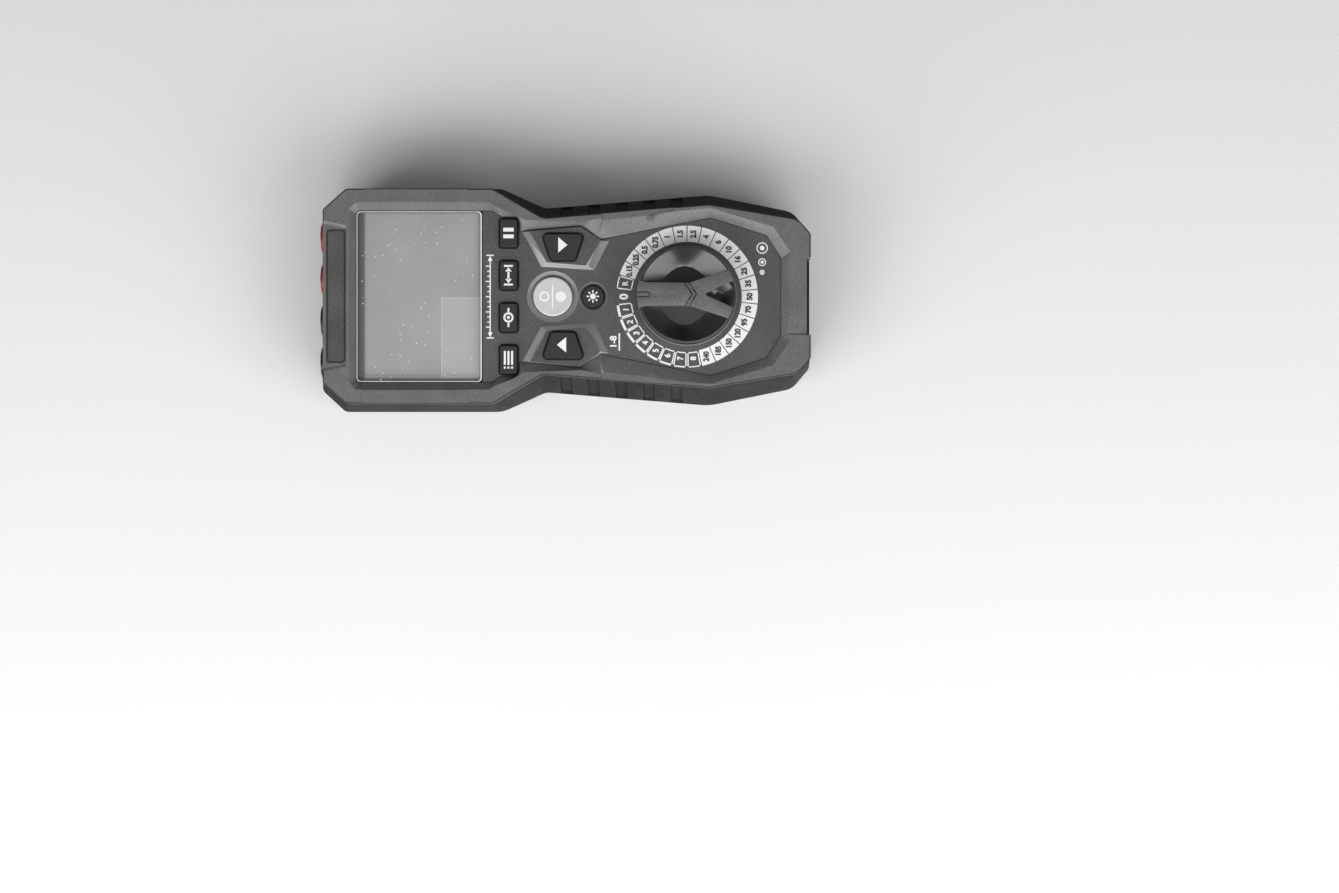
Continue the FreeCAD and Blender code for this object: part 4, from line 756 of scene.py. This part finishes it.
SCALE_Y, SCALE_HALF, SCALE_STEP, HEAD = 29.6, 16.4, 2.05, 2.0
SCALE_LINE, STOP, LONG_TICK, SHORT_TICK, TICK_LINE = 0.5, 3.0, 1.5, 0.9, 0.45
marks = [bar(0, SCALE_Y, 2 * (SCALE_HALF - HEAD), SCALE_LINE, PANEL)]
for side in (1, -1):
    marks.append(bar(side * (SCALE_HALF + SCALE_LINE / 2), SCALE_Y, SCALE_LINE, STOP, PANEL))
    tip, base = side * SCALE_HALF, side * (SCALE_HALF - HEAD)
    marks.append(triangle((tip, SCALE_Y), (base, SCALE_Y + 1.0), (base, SCALE_Y - 1.0), PANEL))
for place in range(-6, 7):
    tall = LONG_TICK if place % 3 == 0 else SHORT_TICK
    marks.append(bar(place * SCALE_STEP, SCALE_Y + (SCALE_LINE + tall) / 2, TICK_LINE, tall, PANEL))
settle_print("scale_mark", marks)

WIRES_Y, WIRE_LINE, CORE_SHARE = -80.1, 0.42, 0.42
wires = []
for x, radius in ((9.8, 1.0), (13.9, 1.6), (19.6, 2.3)):
    wires += ring_sign(x, WIRES_Y, radius, WIRE_LINE, PANEL)
    wires.append(disc(x, WIRES_Y, radius * CORE_SHARE, PANEL))
settle_print("wire_size_mark", wires)

SPARE_X, SPARE_Y = -18.3, -21.2
settle_print("spare_places_mark", [
    words("1-8", SPARE_X, SPARE_Y + 1.0, PANEL + PRINT / 2, 2.5, thick=0.13, narrow=1.05),
    bar(SPARE_X, SPARE_Y - 1.3, 7.0, 0.6, PANEL)])
print("the panel has its marks")

# %% [markdown]
# ## Pads on the frame
# Beside the display the frame's crest carries a low pad on each side. Its rounded edges catch the
# light as thin lines.

# %% Pads on the frame
CREST, PAD_RISE = 41.5, 0.2
pad = [(37.7, 39.6), (38.7, 38.6), (42.95, 38.6), (42.95, 80.6), (38.7, 80.6), (37.7, 79.6)]
pads = []
for side in (1, -1):
    outline = [(side * x, y) for x, y in pad[::side]]
    pads.append(slab(outline, CREST - PAD_RISE, CREST + PAD_RISE))
    round_edges(0.15)
join(pads)
settle("frame_pads", "frame_plastic", "housing")

# %% [markdown]
# ## Key symbols
# Each key carries a plain white sign: a stack of lines for memory, a target for zero, a dimension
# arrow for the unit, two bars for hold, two triangles for up and down, two wire ends over and under
# a bar for the metal, and a small sun for the light. A black border lies round each key with
# corners, on the panel or on the arrow key's raised bed.


# %% Key symbols
def top_of(name):
    """The level of a part's highest point."""
    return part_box(name)[1].z / mm


def memory_lines(x, y, z):
    """Three lines, each with a dot before it."""
    return [bar(x + shift, y + row * 1.45, width, 0.82, z)
            for row in (-1, 0, 1) for shift, width in ((0.7, 5.6), (-3.2, 0.8))]


def zero_target(x, y, z):
    """A ring with a dot in it and a short arm on either side."""
    cross = [bar(x + side * 3.0, y, 1.7, 0.75, z) for side in (1, -1)]
    return ring_sign(x, y, 2.05, 0.75, z) + [disc(x, y, 0.65, z)] + cross


def unit_arrow(x, y, z):
    """A double arrow between two stops."""
    heads = [triangle((x + side * 3.2, y), (x + side * 1.5, y + 1.3), (x + side * 1.5, y - 1.3), z)
             for side in (1, -1)]
    stops = [bar(x + side * 3.75, y, 0.75, 3.6, z) for side in (1, -1)]
    return [bar(x, y, 3.6, 0.8, z)] + stops + heads


def hold_bars(x, y, z):
    """Two upright bars."""
    return [bar(x + side * 1.35, y, 1.5, 4.2, z) for side in (1, -1)]


KEY_ROW = 22.1
keys = {"memory_key": (-25.5, memory_lines), "zero_key": (-8.5, zero_target),
        "units_key": (8.5, unit_arrow), "hold_key": (25.5, hold_bars)}
for name, (x, draw) in keys.items():
    settle_print(name.replace("_key", "_sign"), draw(x, KEY_ROW, top_of(name)), name)

KEY_HALF, KEY_HALF_TALL, KEY_CORNER = 5.8, 3.65, 1.1
ARROW_Y, ARROW_IN, ARROW_OUT, ARROW_CORNER = 0.1, (14.4, 4.85), (25.2, 8.55), 1.6
BORDER_IN, BORDER_OUT, BORDER_RISE = 0.25, 0.62, 0.04
BED = PANEL + 1.1
key_low, key_high = KEY_ROW - KEY_HALF_TALL, KEY_ROW + KEY_HALF_TALL
outlines = [(box_outline(x - KEY_HALF, x + KEY_HALF, key_low, key_high), KEY_CORNER, PANEL)
            for x, _ in keys.values()]
for side in (1, -1):
    near, far = ([(side * x, ARROW_Y - side * half), (side * x, ARROW_Y + side * half)]
                 for x, half in (ARROW_IN, ARROW_OUT))
    outlines.append(([near[0], *far, near[1]], ARROW_CORNER, BED))
borders = [flat_ring(rounded(corners, radius, BORDER_OUT), rounded(corners, radius, BORDER_IN),
                     level, level + BORDER_RISE) for corners, radius, level in outlines]
join(borders)
settle("key_borders", "seal_rubber", "housing")

ARROW_HALF = 3.1
z = top_of("down_key")
triangle((20.6, -1.7), (20.6 + ARROW_HALF, 2.0), (20.6 - ARROW_HALF, 2.0), z)
settle("down_sign", "print_white", "down_key")
triangle((-19.6, 2.5), (-19.6 - ARROW_HALF, -1.2), (-19.6 + ARROW_HALF, -1.2), z)
settle("up_sign", "print_white", "up_key")

WIRE_END, WIRE_OFF = 2.1, 3.3
z = top_of("metal_select_key")
metal_sign = [bar(0, SELECT, 9.4, 0.6, z), disc(0, SELECT - WIRE_OFF, WIRE_END, z)]
metal_sign += ring_sign(0, SELECT + WIRE_OFF, WIRE_END, 0.75, z)
settle_print("metal_sign", metal_sign, "metal_select_key")
z = top_of("backlight_key")
rays = []
for angle in range(0, 360, 45):
    near = arc(1.55, angle - 9, angle + 9, 1, (0, LIGHT))
    far = arc(2.5, angle + 7, angle - 7, 1, (0, LIGHT))
    rays.append(slab((near + far)[::-1], z, z + PRINT))
settle_print("light_sign", [disc(0, LIGHT, 1.15, z)] + rays, "backlight_key")
print("the keys have their signs")

# %% [markdown]
# ## The function knob
# The knob is a thick polished disc with a hollow on each side of the bar and a third one between
# the fork's arms, so that a finger and a thumb can turn it. Its rim is a profile spun round the
# dial's middle. Each hollow is cut by a bowl: a circle extruded step by step, wider each time, so
# that the wall climbs to the rim and gets a little steeper on its way. Beside the bar a flat ramp
# falls away from the bar, and it meets the bowl in a half-moon.

# %% The knob's rim
knob_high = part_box("function_knob")[1].z / mm
KNOB_BASE = PANEL + 0.2
KNOB_RADIUS = 20.1
SKIRT_TOP = 43.5


def spin_round():
    """Spin the selected profile all the way round the dial's middle and close it."""
    bpy.ops.mesh.spin(steps=160, angle=2 * math.pi, center=(0, DIAL[1] * mm, 0),
                      axis=(0, 0, 1))
    bpy.ops.mesh.select_all(action="SELECT")
    bpy.ops.mesh.remove_doubles(threshold=0.001 * mm)
    bpy.ops.mesh.normals_make_consistent(inside=False)


def turned(profile):
    """A piece turned round the dial's middle from pairs of radius and level."""
    start_fresh()
    bpy.ops.mesh.primitive_circle_add(vertices=len(profile), radius=1, fill_type="NOTHING")
    piece = bpy.context.object
    for vertex, (radius, level) in zip(piece.data.vertices, profile):
        vertex.co = (radius * mm, DIAL[1] * mm, level * mm)
    in_edit(spin_round)
    return piece


turned([(19.2, KNOB_BASE), (19.9, KNOB_BASE), (KNOB_RADIUS, KNOB_BASE + 0.2),
        (KNOB_RADIUS, SKIRT_TOP - 0.4), (19.97, SKIRT_TOP - 0.1), (19.75, SKIRT_TOP),
        (19.55, SKIRT_TOP - 0.1), (19.45, SKIRT_TOP - 0.5), (19.2, SKIRT_TOP - 0.5)])
bpy.ops.object.shade_smooth_by_angle(angle=math.radians(35))
settle("knob_skirt", "knob_matte", "knob")
knob_disc = turned([(0, KNOB_BASE), (19.3, KNOB_BASE), (19.3, 48.1), (19.2, 48.6), (18.98, 48.9),
                    (18.7, knob_high), (0, knob_high)])
print("the rim has", len(knob_disc.data.polygons), "faces")

# %% The knob's hollows
HOLLOW_RIM = 18.65
STEPS, BEND = 12, 1.2
ABOVE_RIM = 1.3


def bowl(x, y, radius, level, end=(0.0, 0.0, HOLLOW_RIM)):
    """A cutter that widens from a small floor circle to an end circle at the rim's level."""
    start_fresh()
    bpy.ops.mesh.primitive_circle_add(vertices=128, radius=radius * mm, fill_type="NGON",
                                      location=(x * mm, (DIAL[1] + y) * mm, level * mm))

    def widen():
        here = (x, y, radius, level)
        for number in range(1, STEPS + 2):
            share = min(number / STEPS, 1)
            rise = share ** BEND if number <= STEPS else ABOVE_RIM
            x_now, y_now, radius_now = (a + (b - a) * share
                                        for a, b in zip((x, y, radius), end))
            there = (x_now, y_now, radius_now, level + (knob_high - level) * rise)
            move = [(there[i] - here[i]) * mm for i in (0, 1, 3)]
            bpy.ops.mesh.extrude_region_move(TRANSFORM_OT_translate={"value": move})
            scale = radius_now / here[2]
            middle = (x_now * mm, (DIAL[1] + y_now) * mm, there[3] * mm)
            bpy.ops.transform.resize(value=(scale, scale, 1), center_override=middle)
            here = there
        bpy.ops.mesh.select_all(action="SELECT")
        bpy.ops.mesh.normals_make_consistent(inside=False)

    in_edit(widen)
    return bpy.context.object


def keep(x, y, toward, level=0):
    """Cut the active piece by a plane through a point and keep the side `toward` points to."""

    def halve():
        point = (x * mm, (DIAL[1] + y) * mm, level * mm)
        bpy.ops.mesh.bisect(plane_co=point, plane_no=toward, use_fill=True, clear_inner=True)

    in_edit(halve)


FORK = (0.0, -4.6)
ARM_TURN = math.radians(31.5)
arm_out = (math.cos(ARM_TURN), math.sin(ARM_TURN))
RAMP = {"x": 4.6, "level": 45.4, "end": 11.8}
FLOOR = 43.65
ramp_up = (RAMP["level"] - FLOOR) / (RAMP["end"] - RAMP["x"])
for side in (1, -1):
    cutter = bowl(side * 7.4, 1.0, 4.4, FLOOR)
    keep(side * 2.0, 0, (side, 0, 0))
    keep(*FORK, (side * arm_out[0], arm_out[1], 0))
    keep(side * RAMP["x"], 0, (side * ramp_up, 0, 1), RAMP["level"])
    combine(knob_disc, cutter, "DIFFERENCE")
cutter = bowl(0, -12.5, 1.2, 45.6, end=(0, -12.7, 5.95))
for side in (1, -1):
    keep(*FORK, (-side * arm_out[0], -arm_out[1], 0))
combine(knob_disc, cutter, "DIFFERENCE")
print("the hollows are cut")

# %% [markdown]
# ## The bar across the knob
# The bar widens at its nose, where a U-shaped groove marks the chosen place, and forks at its tail.
# One outline makes both the polished bar that stands in the hollows and the matt cap plate on it.

# %% The bar across the knob
BAR_LOW, CAP_LOW, BAR_SHARE = 42.8, knob_high - 0.05, 0.985
half = [(2.8, 19.75), (5.4, 19.2), (4.66, 16.2), (4.5, -1.1), (9.65, -16.3), (7.6, -17.45),
        (5.35, -18.35), (0.45, -7.6)]
bar_outline = [(-x, DIAL[1] + y) for x, y in half]
bar_outline += [(x, DIAL[1] + y) for x, y in half[::-1]]
bar_core = [(x * BAR_SHARE, DIAL[1] + (y - DIAL[1]) * BAR_SHARE) for x, y in bar_outline]
combine(knob_disc, slab(bar_core, BAR_LOW, CAP_LOW), "UNION")
bpy.ops.object.shade_smooth_by_angle(angle=math.radians(26))
knob_disc = settle("knob_disc", "knob_gloss", "knob")
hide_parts("function_knob")

CAP_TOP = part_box("knob_pointer")[1].z / mm
cap = slab(bar_outline, CAP_LOW, CAP_TOP)
U_HALF, U_LINE, U_END, U_DEPTH = 1.2, 0.5, 14.6, 0.8


def u_shape(half_width, end):
    """A tongue with a rounded inner end that runs out past the nose."""
    open_end = DIAL[1] + 22
    inner_end = arc(half_width, 270, 90, 10, (0, DIAL[1] + end + half_width))
    return [(half_width, open_end), (-half_width, open_end)] + inner_end


groove = flat_ring(u_shape(U_HALF, U_END), u_shape(U_HALF - U_LINE, U_END + U_LINE),
                   CAP_TOP - U_DEPTH, CAP_TOP + 1)
combine(cap, groove, "DIFFERENCE")
# A chevron is a wide shallow valley with a deep groove along each edge. Each line gives the wing
# and the apex of the edge nearer the nose, those of the other edge, and the depth.
CHEVRON_HALF = 6
valleys = [((2.25, -1.8), (-0.4, -4.1), 0.5),
           ((2.25, -1.8), (1.65, -2.4), 1.0),
           ((0.2, -3.5), (-0.4, -4.1), 1.0)]
for (wing, apex), (low_wing, low_apex), depth in valleys:
    chevron = [(-CHEVRON_HALF, wing), (0, apex), (CHEVRON_HALF, wing),
               (CHEVRON_HALF, low_wing), (0, low_apex), (-CHEVRON_HALF, low_wing)]
    valley = slab([(x, DIAL[1] + y) for x, y in chevron], CAP_TOP - depth, CAP_TOP + 1)
    combine(cap, valley, "DIFFERENCE")
round_edges(0.14, 35)
bpy.ops.object.shade_smooth_by_angle(angle=math.radians(30))
cap = settle("knob_cap", "knob_matte", "knob")
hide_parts("knob_pointer")
print("the bar is on the knob")

# %% [markdown]
# ## Floor and light
# A plain pale floor carries the counter; from below it lets the eye through to the counter's back.
# The sky gives weak even light. Two square lamps stand low on the counter's left side, one towards
# each end, with a weak third one between and above them, so that slopes facing them shine and
# slopes facing away fall dark. A last lamp lies under the floor, for the back. Each lamp is given
# by its place and width in metres and its power in watts, and points at the counter's middle.

# %% Floor and light
start_fresh()
bpy.ops.mesh.primitive_plane_add(size=6, location=(0, 0, 0))
floor = bpy.context.object
floor.name = "floor"
floor_finish = Finish("floor")
floor_cloud = floor_finish.noise(200 * mm, 2.0)
floor_finish.set(base_color=floor_finish.mix(floor_cloud, grey(0.8), grey(0.82)), roughness=0.8)
from_below = floor_finish.node("ShaderNodeNewGeometry", {}, {}, "Backfacing")
clear = floor_finish.node("ShaderNodeBsdfTransparent", {}, {})
shader = Value(floor_finish, floor_finish.shader.outputs[0])
blend = floor_finish.node("ShaderNodeMixShader", {}, {0: from_below, 1: shader, 2: clear})
floor_finish.feed(floor_finish.tree.nodes["Material Output"].inputs[0], blend)
floor.data.materials.append(floor_finish.material)
floor.visible_shadow = False

world = bpy.data.worlds.new("sky")
bpy.context.scene.world = world
world.use_nodes = True
sky = world.node_tree.nodes["Background"]
sky.inputs["Color"].default_value = (1, 1, 1, 1)
sky.inputs["Strength"].default_value = 0.19

LAMPS = {"lamp_heel": ((-0.6, -0.66, 0.62), 0.9, 8.4),
         "lamp_display": ((-0.64, 0.62, 0.62), 0.9, 8.4),
         "lamp_side": ((-0.72, -0.02, 0.76), 0.6, 2.6),
         "lamp_under": ((-0.35, -0.3, -0.8), 0.9, 8.0)}
for name, (spot, width, power) in LAMPS.items():
    start_fresh()
    bpy.ops.object.light_add(type="AREA", location=spot)
    lamp = bpy.context.object
    lamp.name = name
    lamp.data.size = width
    lamp.data.energy = power
    lamp.rotation_mode = "QUATERNION"
    lamp.rotation_quaternion = (Vector((0, 0, 0)) - lamp.location).to_track_quat("-Z", "Y")
bpy.context.scene.view_settings.view_transform = "Standard"
print("the light is set")
